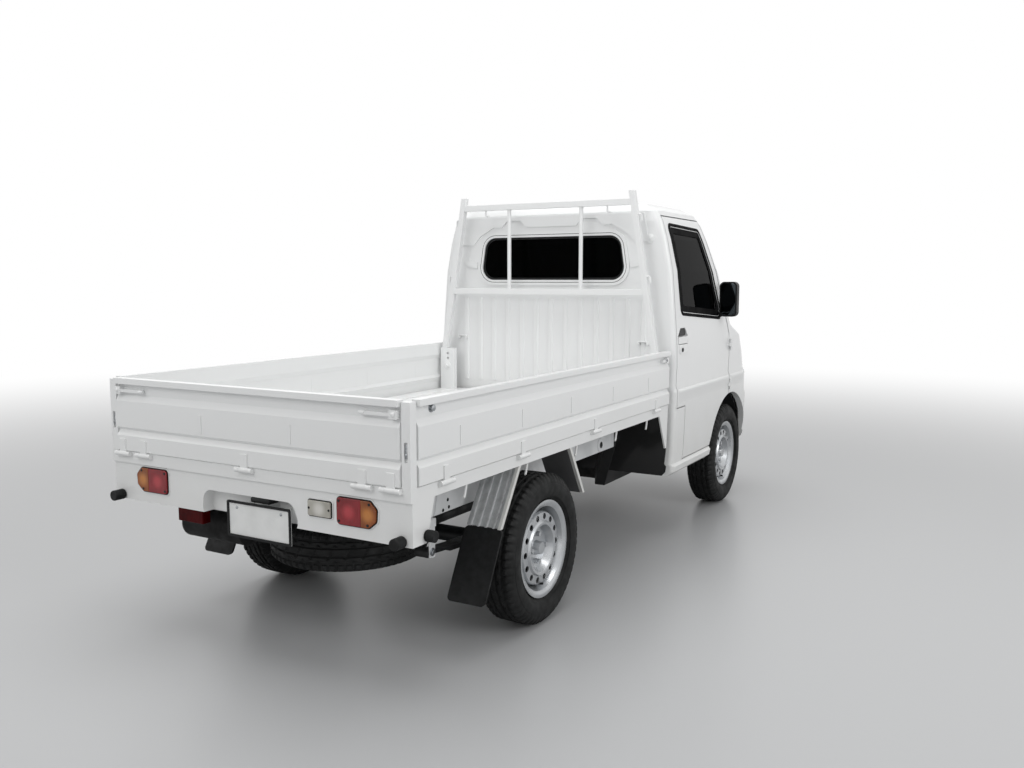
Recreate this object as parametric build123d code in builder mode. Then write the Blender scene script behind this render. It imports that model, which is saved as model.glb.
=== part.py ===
"""Small semi-cab-over pickup with a three-way drop-side bed, as separate named parts.

Millimetres. X is to the vehicle's right, Y forward, Z up. The ground is Z = 0 and the origin lies
under the middle of the bounding box.
"""
import os
from math import atan2, cos, radians, sin, sqrt

from build123d import *

os.makedirs("parts", exist_ok=True)

# Stations along the vehicle
WHEELBASE = 2400
REAR_OVERHANG = 915
FRONT_OVERHANG = 585
STOP_LENGTH = 40
BED_LENGTH = 2286
BED_CAB_GAP = 30
OVERALL_LENGTH = STOP_LENGTH + REAR_OVERHANG + WHEELBASE + FRONT_OVERHANG
TAIL_Y = STOP_LENGTH - OVERALL_LENGTH / 2
REAR_AXLE_Y = TAIL_Y + REAR_OVERHANG
FRONT_AXLE_Y = REAR_AXLE_Y + WHEELBASE
NOSE_Y = FRONT_AXLE_Y + FRONT_OVERHANG
BED_FRONT_Y = TAIL_Y + BED_LENGTH
CAB_BACK_Y = BED_FRONT_Y + BED_CAB_GAP

# Wheels
TYRE_RADIUS = 306
TYRE_WIDTH = 170
BEAD_RADIUS = 178
RIM_FLANGE_RADIUS = 195
RIM_WIDTH = 138
RIM_GAUGE = 6
HUB_FACE = 22
VENT_CIRCLE = 129.5
VENT_RADIUS = 12.5
VENT_COUNT = 14
NUT_CIRCLE = 57.15
NUT_COUNT = 4
REAR_WHEEL_X = 637
FRONT_WHEEL_X = 643
KINGPIN_X = 520
KINGPIN_RADIUS = 20
DRUM_RADIUS = 110

# Frame
RAIL_X = 470
FRONT_RAIL_X = 320
RAIL_WIDTH = 60
RAIL_TOP = 630
RAIL_DEPTH = 110
LOW_RAIL_DEPTH = 85
SPARE_X = 70
SPARE_Y = TAIL_Y + 470
SPARE_Z = 400

# Bed
BED_HALF_WIDTH = 713
SILL_BOTTOM = 685
SILL_TOP = 730
DECK_TOP = 745
DECK_THICKNESS = 30
DECK_RIB_PITCH = 94
DECK_RIB_COUNT = 13
GATE_GAP = 5
GATE_TOP = 1013
GATE_OUT = 6
GATE_BACK = 20
POST_SIZE = 34
HINGE_OUT = 10
HINGE_Z = 722
HINGE_RADIUS = 9
HINGE_KNUCKLE = 40
HINGE_SIDE_KNUCKLE = 20
PANEL_BOTTOM = 540
PANEL_GAUGE = 4
PANEL_SET_IN = 8
STOP_RADIUS = 20
STOP_Z = 557
STOP_X = 672

# Guard behind the cab
GUARD_Y = BED_FRONT_Y - 50
GUARD_TUBE = 32
GUARD_TOP = 1845
GUARD_FOOT_X = 656
FRONT_POST_TOP = 985
GUARD_HEAD_X = 515
GUARD_TOP_RAIL_Z = 1787
GUARD_MID_RAIL_Z = 1318
GUARD_UPRIGHT_X = 222
GUARD_UPRIGHT_RADIUS = 11

# Cab
CAB_BOTTOM = 340
CAB_WALL = 36
BACK_WALL = 20
CAB_REAR_CORNER = 28
NOSE_SWEEP = 2600
ROOF_SPLIT = 1745
BACK_SPLIT = CAB_BACK_Y + 22
HOOD_HALF = 585
BUMPER_TOP = 676
BUMPER_SPLIT_Y = FRONT_AXLE_Y + 300
ARCH_RADIUS = 385
LINER_GAUGE = 6
LINER_INNER_X = 366
LINER_OUTER_X = 690
DOOR_GAP = 6
DOOR_FRONT_GAP = 10
DOOR_FRONT_Y = FRONT_AXLE_Y - 50
DOOR_HINGE_X = 750
DOOR_HINGE_RADIUS = 5
DOOR_HINGE_KNUCKLE = 22
DOOR_HINGE_LEVELS = [735, 980]
GLASS_GAUGE = 6
GLASS_INSET = 6
GRILLE_INSET = 10

# Cab sections: height, half width, rear set-forward, front set-back, front corner radius
CAB_SECTIONS = [
    (340, 706, 0, 45, 230),
    (362, 735, 0, 26, 240),
    (392, 740, 0, 14, 245),
    (406, 729, 0, 8, 245),
    (470, 736, 0, 0, 250),
    (650, 742, 0, 0, 250),
    (690, 742, 0, 34, 240),
    (795, 745, 0, 58, 220),
    (825, 735, 0, 76, 215),
    (930, 739, 0, 130, 200),
    (1040, 736, 0, 205, 170),
    (1110, 732, 0, 410, 135),
    (1430, 706, 0, 627, 120),
    (1600, 672, 0, 742, 115),
    (1690, 646, 2, 803, 110),
    (1745, 622, 10, 858, 110),
    (1780, 566, 36, 935, 105),
    (1797, 456, 110, 1045, 100),
]


def save(part, name):
    part.label = name
    export_step(part, f"parts/{name}.step")


def both_sides(part):
    """A right-hand part with its mirror image, as one compound."""
    with BuildPart() as pair:
        add(part)
        mirror(about=Plane.YZ)
    return pair.part


def block(x_low, x_high, y_low, y_high, z_low, z_high):
    """A plain box from its six limits."""
    size = (x_high - x_low, y_high - y_low, z_high - z_low)
    with BuildPart(Location((x_low, y_low, z_low))) as solid:
        Box(*size, align=(Align.MIN, Align.MIN, Align.MIN))
    return solid.part


def rod(start, end, radius):
    """A round bar between two points."""
    along = Vector(*end) - Vector(*start)
    with BuildPart() as bar:
        with BuildSketch(Plane(origin=start, z_dir=along)):
            Circle(radius)
        extrude(amount=along.length)
    return bar.part


def prism_x(points, x_low, x_high):
    """A side-view outline of (Y, Z) points, drawn out along X."""
    with BuildPart() as solid:
        with BuildSketch(Plane.YZ.offset(x_low)):
            with BuildLine():
                Polyline(*points, close=True)
            make_face()
        extrude(amount=x_high - x_low)
    return solid.part


def prism_y(points, y_low, y_high, radius=0.0, grow=0.0):
    """A rear-view outline of (X, Z) points with rounded corners, drawn out along Y."""
    with BuildPart() as solid:
        with BuildSketch(Plane.XZ.offset(-y_high)) as outline:
            with BuildLine():
                Polyline(*points, close=True)
            make_face()
            if radius:
                fillet(outline.vertices(), radius)
            if grow:
                offset(amount=grow)
        extrude(amount=y_high - y_low)
    return solid.part


def cut(part, *tools):
    """The part with the tools taken away."""
    with BuildPart() as rest:
        add(part)
        for tool in tools:
            add(tool, mode=Mode.SUBTRACT)
    return rest.part


def common(part, *tools):
    """What the part shares with every tool."""
    with BuildPart() as shared:
        add(part)
        for tool in tools:
            add(tool, mode=Mode.INTERSECT)
    return shared.part


def joined(*parts):
    """Several parts made one."""
    with BuildPart() as whole:
        for part in parts:
            add(part)
    return whole.part


# Wheels: tyre and pierced steel rim, turned about the axle line

def wheel_plane(side, x, y):
    """Sketch plane through an axle: X outwards along the axle, Y up."""
    return Plane(origin=(side * x, y, TYRE_RADIUS), x_dir=(side, 0, 0), z_dir=(0, -side, 0))


def tyre_at(plane):
    half = TYRE_WIDTH / 2
    bead = RIM_WIDTH / 2 - 14 - RIM_GAUGE / 2 - 0.5
    profile = [
        (-bead, BEAD_RADIUS),
        (-bead, RIM_FLANGE_RADIUS + 5),
        (-half, BEAD_RADIUS + 60),
        (-half + 24, TYRE_RADIUS),
        (half - 24, TYRE_RADIUS),
        (half, BEAD_RADIUS + 60),
        (bead, RIM_FLANGE_RADIUS + 5),
        (bead, BEAD_RADIUS),
    ]
    with BuildPart() as tyre:
        with BuildSketch(plane):
            with BuildLine():
                Polyline(*profile, close=True)
            make_face()
        revolve(axis=Axis(plane.origin, plane.x_dir))
    return tyre.part


def rim_at(plane):
    half = RIM_WIDTH / 2
    well = BEAD_RADIUS - 22
    gauge = RIM_GAUGE
    barrel = [
        (half, RIM_FLANGE_RADIUS + 3),
        (half - 15, RIM_FLANGE_RADIUS - 2),
        (half - 15, BEAD_RADIUS - 0.1),
        (26, BEAD_RADIUS - 0.1),
        (8, well),
        (-28, well),
        (-half + 15, BEAD_RADIUS - 0.1),
        (-half + 15, RIM_FLANGE_RADIUS - 2),
        (-half, RIM_FLANGE_RADIUS + 3),
        (-half, RIM_FLANGE_RADIUS - 3),
        (-28, well - gauge),
        (8, well - gauge),
        (half - 9, BEAD_RADIUS - gauge),
        (half, RIM_FLANGE_RADIUS - 3),
    ]
    disc = [
        (10, well - gauge + 1),
        (40, well - gauge + 1),
        (51, 145),
        (53, 114),
        (61, 107),
        (59, 96),
        (HUB_FACE + gauge, 80),
        (HUB_FACE + gauge, 0),
        (HUB_FACE, 0),
        (HUB_FACE, 84),
        (53, 100),
        (47, 112),
        (45, 144),
        (10, 145),
    ]
    axis = Axis(plane.origin, plane.x_dir)
    face = Plane(origin=plane.origin, x_dir=(0, 1, 0), z_dir=plane.x_dir)
    with BuildPart() as rim:
        for line in (barrel, disc):
            with BuildSketch(plane):
                with BuildLine():
                    Polyline(*line, close=True)
                make_face()
            revolve(axis=axis)
        with BuildSketch(face):
            with PolarLocations(VENT_CIRCLE, VENT_COUNT):
                Circle(VENT_RADIUS)
        extrude(amount=70, mode=Mode.SUBTRACT)
        with BuildSketch(face.offset(HUB_FACE + gauge)):
            with PolarLocations(NUT_CIRCLE, NUT_COUNT):
                RegularPolygon(11, 6)
        extrude(amount=20)
        with BuildSketch(face.offset(HUB_FACE + gauge)):
            Circle(31)
        extrude(amount=28, taper=14)
    return rim.part


WHEELS = [
    # name, side, axle x, axle y
    ("rear_left", -1, REAR_WHEEL_X, REAR_AXLE_Y),
    ("rear_right", 1, REAR_WHEEL_X, REAR_AXLE_Y),
    ("front_left", -1, FRONT_WHEEL_X, FRONT_AXLE_Y),
    ("front_right", 1, FRONT_WHEEL_X, FRONT_AXLE_Y),
]
for name, side, wheel_x, wheel_y in WHEELS:
    plane = wheel_plane(side, wheel_x, wheel_y)
    save(tyre_at(plane), f"tyre_{name}")
    save(rim_at(plane), f"rim_{name}")

# Frame: two bent side rails, cross-members, rear axle, springs and front suspension

rail_bottom = RAIL_TOP - RAIL_DEPTH
low_bottom = CAB_BOTTOM - LOW_RAIL_DEPTH
KICK_REAR_Y = BED_FRONT_Y - 190
KICK_FRONT_Y = BED_FRONT_Y + 10
RAIL_FRONT_Y = NOSE_Y - 210
with BuildPart() as rail:
    for x, low, high, y_low, y_high in (
        (RAIL_X, rail_bottom, RAIL_TOP, TAIL_Y + 60, KICK_REAR_Y),
        (FRONT_RAIL_X, low_bottom, CAB_BOTTOM, KICK_FRONT_Y, RAIL_FRONT_Y),
    ):
        add(block(x - RAIL_WIDTH / 2, x + RAIL_WIDTH / 2, y_low, y_high, low, high))
    for x, low, high, y in (
        (RAIL_X, rail_bottom, RAIL_TOP, KICK_REAR_Y), (FRONT_RAIL_X, low_bottom, CAB_BOTTOM, KICK_FRONT_Y),
    ):
        with BuildSketch(Plane.XZ.offset(-y)):
            with Locations((x, (low + high) / 2)):
                Rectangle(RAIL_WIDTH, high - low)
    loft(ruled=True)
save(both_sides(rail.part), "frame_rails")

CROSS_MEMBERS = [
    # rail x, y, width along y, bottom, depth
    (RAIL_X, TAIL_Y + 110, 70, rail_bottom + 10, 90),
    (RAIL_X, SPARE_Y, 60, rail_bottom + 20, 60),
    (RAIL_X, REAR_AXLE_Y + 520, 60, rail_bottom + 20, 70),
    (RAIL_X, BED_FRONT_Y - 300, 70, rail_bottom + 10, 80),
    (FRONT_RAIL_X, NOSE_Y - 250, 70, low_bottom + 10, 65),
]
cross_half = FRONT_RAIL_X - RAIL_WIDTH / 2
with BuildPart() as cross:
    for x, y, width, bottom, depth in CROSS_MEMBERS:
        reach = x - RAIL_WIDTH / 2
        add(block(-reach, reach, y - width / 2, y + width / 2, bottom, bottom + depth))
    add(rod((SPARE_X, SPARE_Y, rail_bottom + 25), (SPARE_X, SPARE_Y, SPARE_Z - HUB_FACE), 14))
save(cross.part, "frame_crossmembers")

AXLE_RADIUS = 34
hub_gap = 0.3
with BuildPart() as axle:
    add(rod((-600, REAR_AXLE_Y, TYRE_RADIUS), (600, REAR_AXLE_Y, TYRE_RADIUS), AXLE_RADIUS))
    with Locations((40, REAR_AXLE_Y, TYRE_RADIUS)):
        Sphere(105)
    for side in (-1, 1):
        hub = REAR_WHEEL_X + HUB_FACE - hub_gap
        centre = (side * (hub - 75), REAR_AXLE_Y, TYRE_RADIUS)
        add(rod(centre, (side * hub, REAR_AXLE_Y, TYRE_RADIUS), DRUM_RADIUS))
    add(rod((40, REAR_AXLE_Y + 60, TYRE_RADIUS), (40, REAR_AXLE_Y + 150, TYRE_RADIUS), 48))
save(axle.part, "rear_axle")

SPRING_X = RAIL_X + 8
SPRING_WIDTH = 60
SHACKLE_GAUGE = 8
LEAF_GAUGE = 9
SPRING_REAR_Y = TAIL_Y + 400
SPRING_FRONT_Y = REAR_AXLE_Y + 515
EYE_RADIUS = 20
LEAVES = [
    # reach rearwards and forwards of the axle, rise of the ends
    (SPRING_REAR_Y - REAR_AXLE_Y, SPRING_FRONT_Y - REAR_AXLE_Y, 24),
    (-390, 390, 14),
    (-250, 250, 6),
]
seat_z = TYRE_RADIUS + AXLE_RADIUS + 6
with BuildPart() as spring:
    for level, (rearward, forward, rise) in enumerate(LEAVES):
        z = seat_z + (len(LEAVES) - level - 0.5) * LEAF_GAUGE
        with BuildSketch(Plane.YZ.offset(SPRING_X - SPRING_WIDTH / 2)):
            with BuildLine():
                ThreePointArc(
                    (REAR_AXLE_Y + rearward, z + rise), (REAR_AXLE_Y, z), (REAR_AXLE_Y + forward, z + rise)
                )
            trace(line_width=LEAF_GAUGE + 0.4)
        extrude(amount=SPRING_WIDTH)
    eye_z = seat_z + 2.5 * LEAF_GAUGE + LEAVES[0][2]
    spring_low = SPRING_X - SPRING_WIDTH / 2
    spring_high = SPRING_X + SPRING_WIDTH / 2
    for eye_y in (SPRING_REAR_Y, SPRING_FRONT_Y):
        add(rod((spring_low, eye_y, eye_z), (spring_high, eye_y, eye_z), EYE_RADIUS))
    shackle_out = spring_high + SHACKLE_GAUGE
    for eye_y, reach, plate in ((SPRING_REAR_Y, 22, 15), (SPRING_FRONT_Y, 30, 25)):
        add(block(spring_low, shackle_out, eye_y - reach, eye_y + reach, rail_bottom - 30, rail_bottom))
        add(block(spring_high, shackle_out, eye_y - plate, eye_y + plate, eye_z - plate, rail_bottom))
    add(block(spring_low - 6, spring_high + 6, REAR_AXLE_Y - 55, REAR_AXLE_Y + 55, seat_z - 12, seat_z + 34))
axle_space = rod((-700, REAR_AXLE_Y, TYRE_RADIUS), (700, REAR_AXLE_Y, TYRE_RADIUS), AXLE_RADIUS)
save(both_sides(cut(spring.part, axle_space)), "leaf_springs")

ARM_Z = 214
KNUCKLE_LOW = 240
KNUCKLE_HIGH = 452
STRUT_RADIUS = 27
hanger_in = FRONT_RAIL_X + RAIL_WIDTH / 2
with BuildPart() as suspension:
    arm = [
        (hanger_in - 70, FRONT_AXLE_Y - 120),
        (hanger_in - 70, FRONT_AXLE_Y + 120),
        (KINGPIN_X + 24, FRONT_AXLE_Y + 26),
        (KINGPIN_X + 24, FRONT_AXLE_Y - 26),
    ]
    with BuildSketch(Plane.XY.offset(ARM_Z)):
        with BuildLine():
            Polyline(*arm, close=True)
        make_face()
    extrude(amount=KNUCKLE_LOW - hub_gap - ARM_Z)
    add(block(hanger_in - 60, hanger_in, FRONT_AXLE_Y - 110, FRONT_AXLE_Y + 110, ARM_Z + 10, low_bottom))
    add(rod(
        (KINGPIN_X, FRONT_AXLE_Y, KNUCKLE_HIGH + hub_gap),
        (KINGPIN_X, FRONT_AXLE_Y, TYRE_RADIUS + ARCH_RADIUS - 1.2),
        STRUT_RADIUS,
    ))
save(both_sides(suspension.part), "front_suspension")


def knuckle(side):
    """Steering knuckle: kingpin, stub and brake drum, turned as one."""
    hub = FRONT_WHEEL_X + HUB_FACE - hub_gap
    with BuildPart() as solid:
        pin = side * KINGPIN_X
        add(rod((pin, FRONT_AXLE_Y, KNUCKLE_LOW), (pin, FRONT_AXLE_Y, KNUCKLE_HIGH), KINGPIN_RADIUS))
        for start, end, radius in ((KINGPIN_X, hub - 60, 38), (hub - 65, hub, DRUM_RADIUS)):
            axle_line = [(side * x, FRONT_AXLE_Y, TYRE_RADIUS) for x in (start, end)]
            add(rod(*axle_line, radius))
    return solid.part


save(knuckle(-1), "knuckle_left")
save(knuckle(1), "knuckle_right")

# Cab: one hollow volume of stacked sections, cut into the panels that meet on the real cab

def section_at(height):
    """Half width, rear set-forward, front set-back and corner radius at any height."""
    for low, high in zip(CAB_SECTIONS, CAB_SECTIONS[1:]):
        if height <= high[0]:
            share = (height - low[0]) / (high[0] - low[0])
            return tuple(a + (b - a) * share for a, b in zip(low[1:], high[1:]))
    return CAB_SECTIONS[-1][1:]


def cab_outline(half, rear_y, front_y, corner, rear_corner):
    """Plan outline with rounded corners and a bowed front."""
    bow = front_y - NOSE_SWEEP
    corner_y = bow + sqrt((NOSE_SWEEP - corner) ** 2 - (half - corner) ** 2)
    turn = atan2(corner_y - bow, half - corner)
    meet = (NOSE_SWEEP * cos(turn), bow + NOSE_SWEEP * sin(turn))
    middle = (half - corner + corner * cos(turn / 2), corner_y + corner * sin(turn / 2))
    bend = rear_corner * (1 - sqrt(0.5))
    with BuildSketch() as outline:
        with BuildLine():
            Line((rear_corner - half, rear_y), (half - rear_corner, rear_y))
            ThreePointArc(
                (half - rear_corner, rear_y), (half - bend, rear_y + bend), (half, rear_y + rear_corner)
            )
            Line((half, rear_y + rear_corner), (half, corner_y))
            ThreePointArc((half, corner_y), middle, meet)
            ThreePointArc(meet, (0, front_y), (-meet[0], meet[1]))
            ThreePointArc((-meet[0], meet[1]), (-middle[0], middle[1]), (-half, corner_y))
            Line((-half, corner_y), (-half, rear_y + rear_corner))
            ThreePointArc(
                (-half, rear_y + rear_corner), (bend - half, rear_y + bend), (rear_corner - half, rear_y)
            )
        make_face()
    return outline.sketch


def cab_volume(inset):
    """The closed cab volume with its skin moved inwards."""
    low = CAB_SECTIONS[0][0] + inset
    high = CAB_SECTIONS[-1][0] - inset
    between = [row[0] for row in CAB_SECTIONS if low + 8 < row[0] < high - 8]
    with BuildPart() as volume:
        for height in (low, *between, high):
            half, rear, front, corner = section_at(height)
            with BuildSketch(Plane.XY.offset(height)):
                add(cab_outline(
                    half - inset,
                    CAB_BACK_Y + rear + min(inset, BACK_WALL),
                    NOSE_Y - front - inset,
                    corner - inset,
                    max(CAB_REAR_CORNER - inset, 6),
                ))
        loft(ruled=True)
    return volume.part


def door_prism(grow=0.0, grow_front=0.0):
    """A door's side view drawn out along X: stepped rear edge, arch at the front foot, raked pillar."""
    arch = ARCH_RADIUS - grow
    rear = CAB_BACK_Y + 29 - grow
    foot_rear = CAB_BACK_Y + 160 - grow
    step = 708 - grow
    foot = 415 - grow
    front = DOOR_FRONT_Y + grow_front
    arch_low = FRONT_AXLE_Y - sqrt(arch ** 2 - (foot - TYRE_RADIUS) ** 2)
    arch_high = TYRE_RADIUS + sqrt(arch ** 2 - (FRONT_AXLE_Y - front) ** 2)
    bend = radians(128)
    with BuildPart() as prism:
        with BuildSketch(Plane.YZ.offset(500)):
            with BuildLine():
                Polyline(
                    (front, arch_high),
                    (front, 1050 + grow_front),
                    (CAB_BACK_Y + 604 + grow_front, 1715 + grow),
                    (rear, 1715 + grow),
                    (rear, step),
                    (foot_rear, step),
                    (foot_rear, foot),
                    (arch_low, foot),
                )
                ThreePointArc(
                    (arch_low, foot),
                    (FRONT_AXLE_Y + arch * cos(bend), TYRE_RADIUS + arch * sin(bend)),
                    (front, arch_high),
                )
            make_face()
        extrude(amount=400)
    return prism.part


DOOR_HINGE_Y = DOOR_FRONT_Y + DOOR_FRONT_GAP / 2


def door_knuckle(low, y_near, y_far):
    """One hinge knuckle with its leaf let into the panel beside it."""
    barrel = rod(
        (DOOR_HINGE_X, DOOR_HINGE_Y, low), (DOOR_HINGE_X, DOOR_HINGE_Y, low + DOOR_HINGE_KNUCKLE),
        DOOR_HINGE_RADIUS,
    )
    leaf = block(DOOR_HINGE_X - 28, DOOR_HINGE_X + 2, y_near, y_far, low, low + DOOR_HINGE_KNUCKLE)
    return joined(barrel, leaf)


DOOR_WINDOW = [
    (CAB_BACK_Y + 128, 1214),
    (DOOR_FRONT_Y - 150, 1168),
    (DOOR_FRONT_Y - 392, 1652),
    (CAB_BACK_Y + 92, 1664),
]
WINDSCREEN = [(-640, 1128), (640, 1128), (548, 1688), (-548, 1688)]
REAR_WINDOW = [(-455, 1383), (455, 1383), (418, 1622), (-418, 1622)]
HEAD_LAMP = [(452, 748), (800, 796), (800, 950), (640, 985), (470, 905)]
GRILLE = [(-400, 735), (400, 735), (430, 845), (-430, 845)]
BACK_HEADER = [
    (580, 1585), (507, 1580), (460, 1630), (372, 1682), (317, 1678), (279, 1716), (192, 1716), (154, 1678),
]
BACK_HEADER_TOP = (552, 1735)
BACK_EAR = [(478, 1448), (545, 1462), (570, 1484), (545, 1498), (478, 1484)]
PRESSING_DEPTH = 7
WINDOW_CORNER = 30
SCREEN_CORNER = 60
REAR_WINDOW_CORNER = 70


def rounded_prism_x(points, radius, grow, x_low, x_high):
    with BuildPart() as solid:
        with BuildSketch(Plane.YZ.offset(x_low)) as outline:
            with BuildLine():
                Polyline(*points, close=True)
            make_face()
            fillet(outline.vertices(), radius)
            if grow:
                offset(amount=grow)
        extrude(amount=x_high - x_low)
    return solid.part


outer = cab_volume(0)
hollow = cab_volume(CAB_WALL)
shell = cut(outer, hollow)
glass_layer = cut(cab_volume(GLASS_INSET), cab_volume(GLASS_GAUGE + GLASS_INSET))

# Front wheel arches and their liners
with BuildPart() as arch_space:
    for side in (-1, 1):
        add(rod(
            (side * LINER_INNER_X, FRONT_AXLE_Y, TYRE_RADIUS),
            (side * 900, FRONT_AXLE_Y, TYRE_RADIUS),
            ARCH_RADIUS,
        ))
        add(rod(
            (side * (LINER_INNER_X - LINER_GAUGE), FRONT_AXLE_Y, TYRE_RADIUS),
            (side * LINER_OUTER_X, FRONT_AXLE_Y, TYRE_RADIUS),
            ARCH_RADIUS + LINER_GAUGE,
        ))
with BuildPart() as liner:
    add(rod(
        (LINER_INNER_X - LINER_GAUGE, FRONT_AXLE_Y, TYRE_RADIUS),
        (LINER_OUTER_X, FRONT_AXLE_Y, TYRE_RADIUS),
        ARCH_RADIUS + LINER_GAUGE,
    ))
    add(rod(
        (LINER_INNER_X, FRONT_AXLE_Y, TYRE_RADIUS),
        (LINER_OUTER_X + 10, FRONT_AXLE_Y, TYRE_RADIUS),
        ARCH_RADIUS,
    ), mode=Mode.SUBTRACT)
    add(block(300, 760, FRONT_AXLE_Y - 500, FRONT_AXLE_Y + 500, -100, CAB_BOTTOM), mode=Mode.SUBTRACT)
save(both_sides(liner.part), "wheel_liners")

door_room = both_sides(door_prism(DOOR_GAP, DOOR_FRONT_GAP))
screen_room = prism_y(WINDSCREEN, FRONT_AXLE_Y - 420, FRONT_AXLE_Y + 260, SCREEN_CORNER)
rear_room = prism_y(REAR_WINDOW, CAB_BACK_Y - 50, CAB_BACK_Y + 200, REAR_WINDOW_CORNER)
lamp_room = both_sides(prism_y(HEAD_LAMP, FRONT_AXLE_Y + 262, NOSE_Y + 50, 24))
grille_room = prism_y(GRILLE, FRONT_AXLE_Y + 300, NOSE_Y + 50, 24)
intake_room = prism_y([(-420, 430), (420, 430), (400, 520), (-400, 520)], FRONT_AXLE_Y + 350, NOSE_Y + 50, 24)
engine_room = block(-330, 330, CAB_BACK_Y + 60, CAB_BACK_Y + 620, 300, 400)
body = cut(shell, door_room, arch_space.part, screen_room, rear_room, lamp_room, grille_room, intake_room,
           engine_room)

far = 3000
roof_zone = block(-far, far, -far, far, ROOF_SPLIT, far)
back_edge = [(row[1] - CAB_WALL - 6, row[0]) for row in CAB_SECTIONS if CAB_BOTTOM < row[0] <= ROOF_SPLIT]
back_edge = [(CAB_SECTIONS[0][1] - CAB_WALL - 6, CAB_BOTTOM - 10)] + back_edge
back_face = back_edge + [(-x, z) for x, z in reversed(back_edge)]
back_zone = prism_y(back_face, CAB_BACK_Y - 50, BACK_SPLIT)
header_zone = block(-540, 540, BACK_SPLIT, far, 1640, ROOF_SPLIT)
bumper_zone = block(-far, far, BUMPER_SPLIT_Y, far, -far, BUMPER_TOP)
front_zone = block(-HOOD_HALF, HOOD_HALF, FRONT_AXLE_Y + 60, far, CAB_BOTTOM + CAB_WALL + 10, ROOF_SPLIT)
floor_zone = block(-HOOD_HALF, HOOD_HALF, BACK_SPLIT, BUMPER_SPLIT_Y, -far, CAB_BOTTOM + CAB_WALL + 10)
side_zone = block(0, far, -far, far, -far, ROOF_SPLIT)

save(joined(common(body, roof_zone), common(body, header_zone)), "cab_roof")
save(common(cut(body, bumper_zone), front_zone), "nose_panel")
save(common(body, bumper_zone), "front_bumper")
with BuildPart() as side_panel:
    add(common(cut(body, bumper_zone, front_zone, floor_zone, back_zone, header_zone), side_zone))
    for level in DOOR_HINGE_LEVELS:
        for low in (level - DOOR_HINGE_KNUCKLE - 0.5, level + DOOR_HINGE_KNUCKLE + 0.5):
            add(door_knuckle(low, DOOR_HINGE_Y, DOOR_HINGE_Y + 24))
side_right = side_panel.part
save(side_right, "cab_side_right")
save(mirror(side_right, about=Plane.YZ), "cab_side_left")

with BuildPart() as back:
    add(common(body, back_zone))
    for index in range(13):
        x = (index - 6) * 93
        with BuildSketch(Plane.XY.offset(800)):
            with Locations((x, CAB_BACK_Y)):
                Trapezoid(44, 14, 50, rotation=180)
        extrude(amount=480)
    pressed_y = (CAB_BACK_Y - PRESSING_DEPTH, CAB_BACK_Y + BACK_WALL / 2)
    header_half = [BACK_HEADER_TOP] + BACK_HEADER
    add(prism_y(header_half + [(-x, z) for x, z in reversed(header_half)], *pressed_y, 8))
    add(both_sides(prism_y(BACK_EAR, *pressed_y, 8)))
    add(prism_y(REAR_WINDOW, CAB_BACK_Y - 8, CAB_BACK_Y + 1, REAR_WINDOW_CORNER, 30))
    add(rear_room, mode=Mode.SUBTRACT)
save(back.part, "cab_back")

with BuildPart() as floor:
    add(common(cut(body, bumper_zone), floor_zone))
    add(block(-355, 355, BACK_SPLIT, CAB_BACK_Y + 640, CAB_BOTTOM + CAB_WALL - 1, 620))
    add(block(-330, 330, CAB_BACK_Y + 60, CAB_BACK_Y + 620, 300, 590), mode=Mode.SUBTRACT)
save(floor.part, "cab_floor")

# Doors, with the window frame in one piece and glass in the frame
window_room = rounded_prism_x(DOOR_WINDOW, WINDOW_CORNER, 0, 400, 900)
HANDLE_Y = CAB_BACK_Y + 45
HANDLE_LENGTH = 155
HANDLE_LOW = 1040
HANDLE_HIGH = 1128
PULL_DEPTH = 38
handle_end = HANDLE_Y + HANDLE_LENGTH
handle_shoulder = HANDLE_HIGH - 42
handle_outline = [
    (HANDLE_Y, HANDLE_LOW), (handle_end, HANDLE_LOW), (handle_end, handle_shoulder),
    (handle_end - 42, HANDLE_HIGH), (HANDLE_Y + 42, HANDLE_HIGH), (HANDLE_Y, handle_shoulder),
]
handle_room = rounded_prism_x(handle_outline, 14, 0, 715, 760)
with BuildPart() as door:
    add(cut(common(shell, door_prism()), window_room, handle_room))
    half = section_at(1075)[0]
    add(block(half - 30, half - 20, HANDLE_Y - 5, handle_end + 5, HANDLE_LOW - 4, HANDLE_HIGH + 4))
    add(block(half - 21, half + 2, HANDLE_Y + 6, handle_end - 6, HANDLE_LOW + 4, HANDLE_LOW + 4 + PULL_DEPTH))
    for level in DOOR_HINGE_LEVELS:
        add(door_knuckle(level, DOOR_HINGE_Y - 24, DOOR_HINGE_Y))
door_right = door.part
save(door_right, "door_right")
save(mirror(door_right, about=Plane.YZ), "door_left")
door_glass = common(glass_layer, rounded_prism_x(DOOR_WINDOW, WINDOW_CORNER, 0, 400, 900))
save(door_glass, "door_glass_right")
save(mirror(door_glass, about=Plane.YZ), "door_glass_left")

MIRROR_Y = DOOR_FRONT_Y - 185
with BuildPart(Location((790, MIRROR_Y, 1270))) as mirror_head:
    Box(104, 62, 204)
    fillet(mirror_head.edges().filter_by(Axis.Y), 28)
    chamfer(mirror_head.faces().sort_by(Axis.Y)[-1].edges(), 16)
with BuildPart() as looking_glass:
    add(mirror_head.part)
    add(rod((726, MIRROR_Y + 10, 1176), (790, MIRROR_Y + 10, 1196), 14))
mirror_right = cut(looking_glass.part, outer)
save(mirror_right, "mirror_right")
save(mirror(mirror_right, about=Plane.YZ), "mirror_left")

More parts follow.
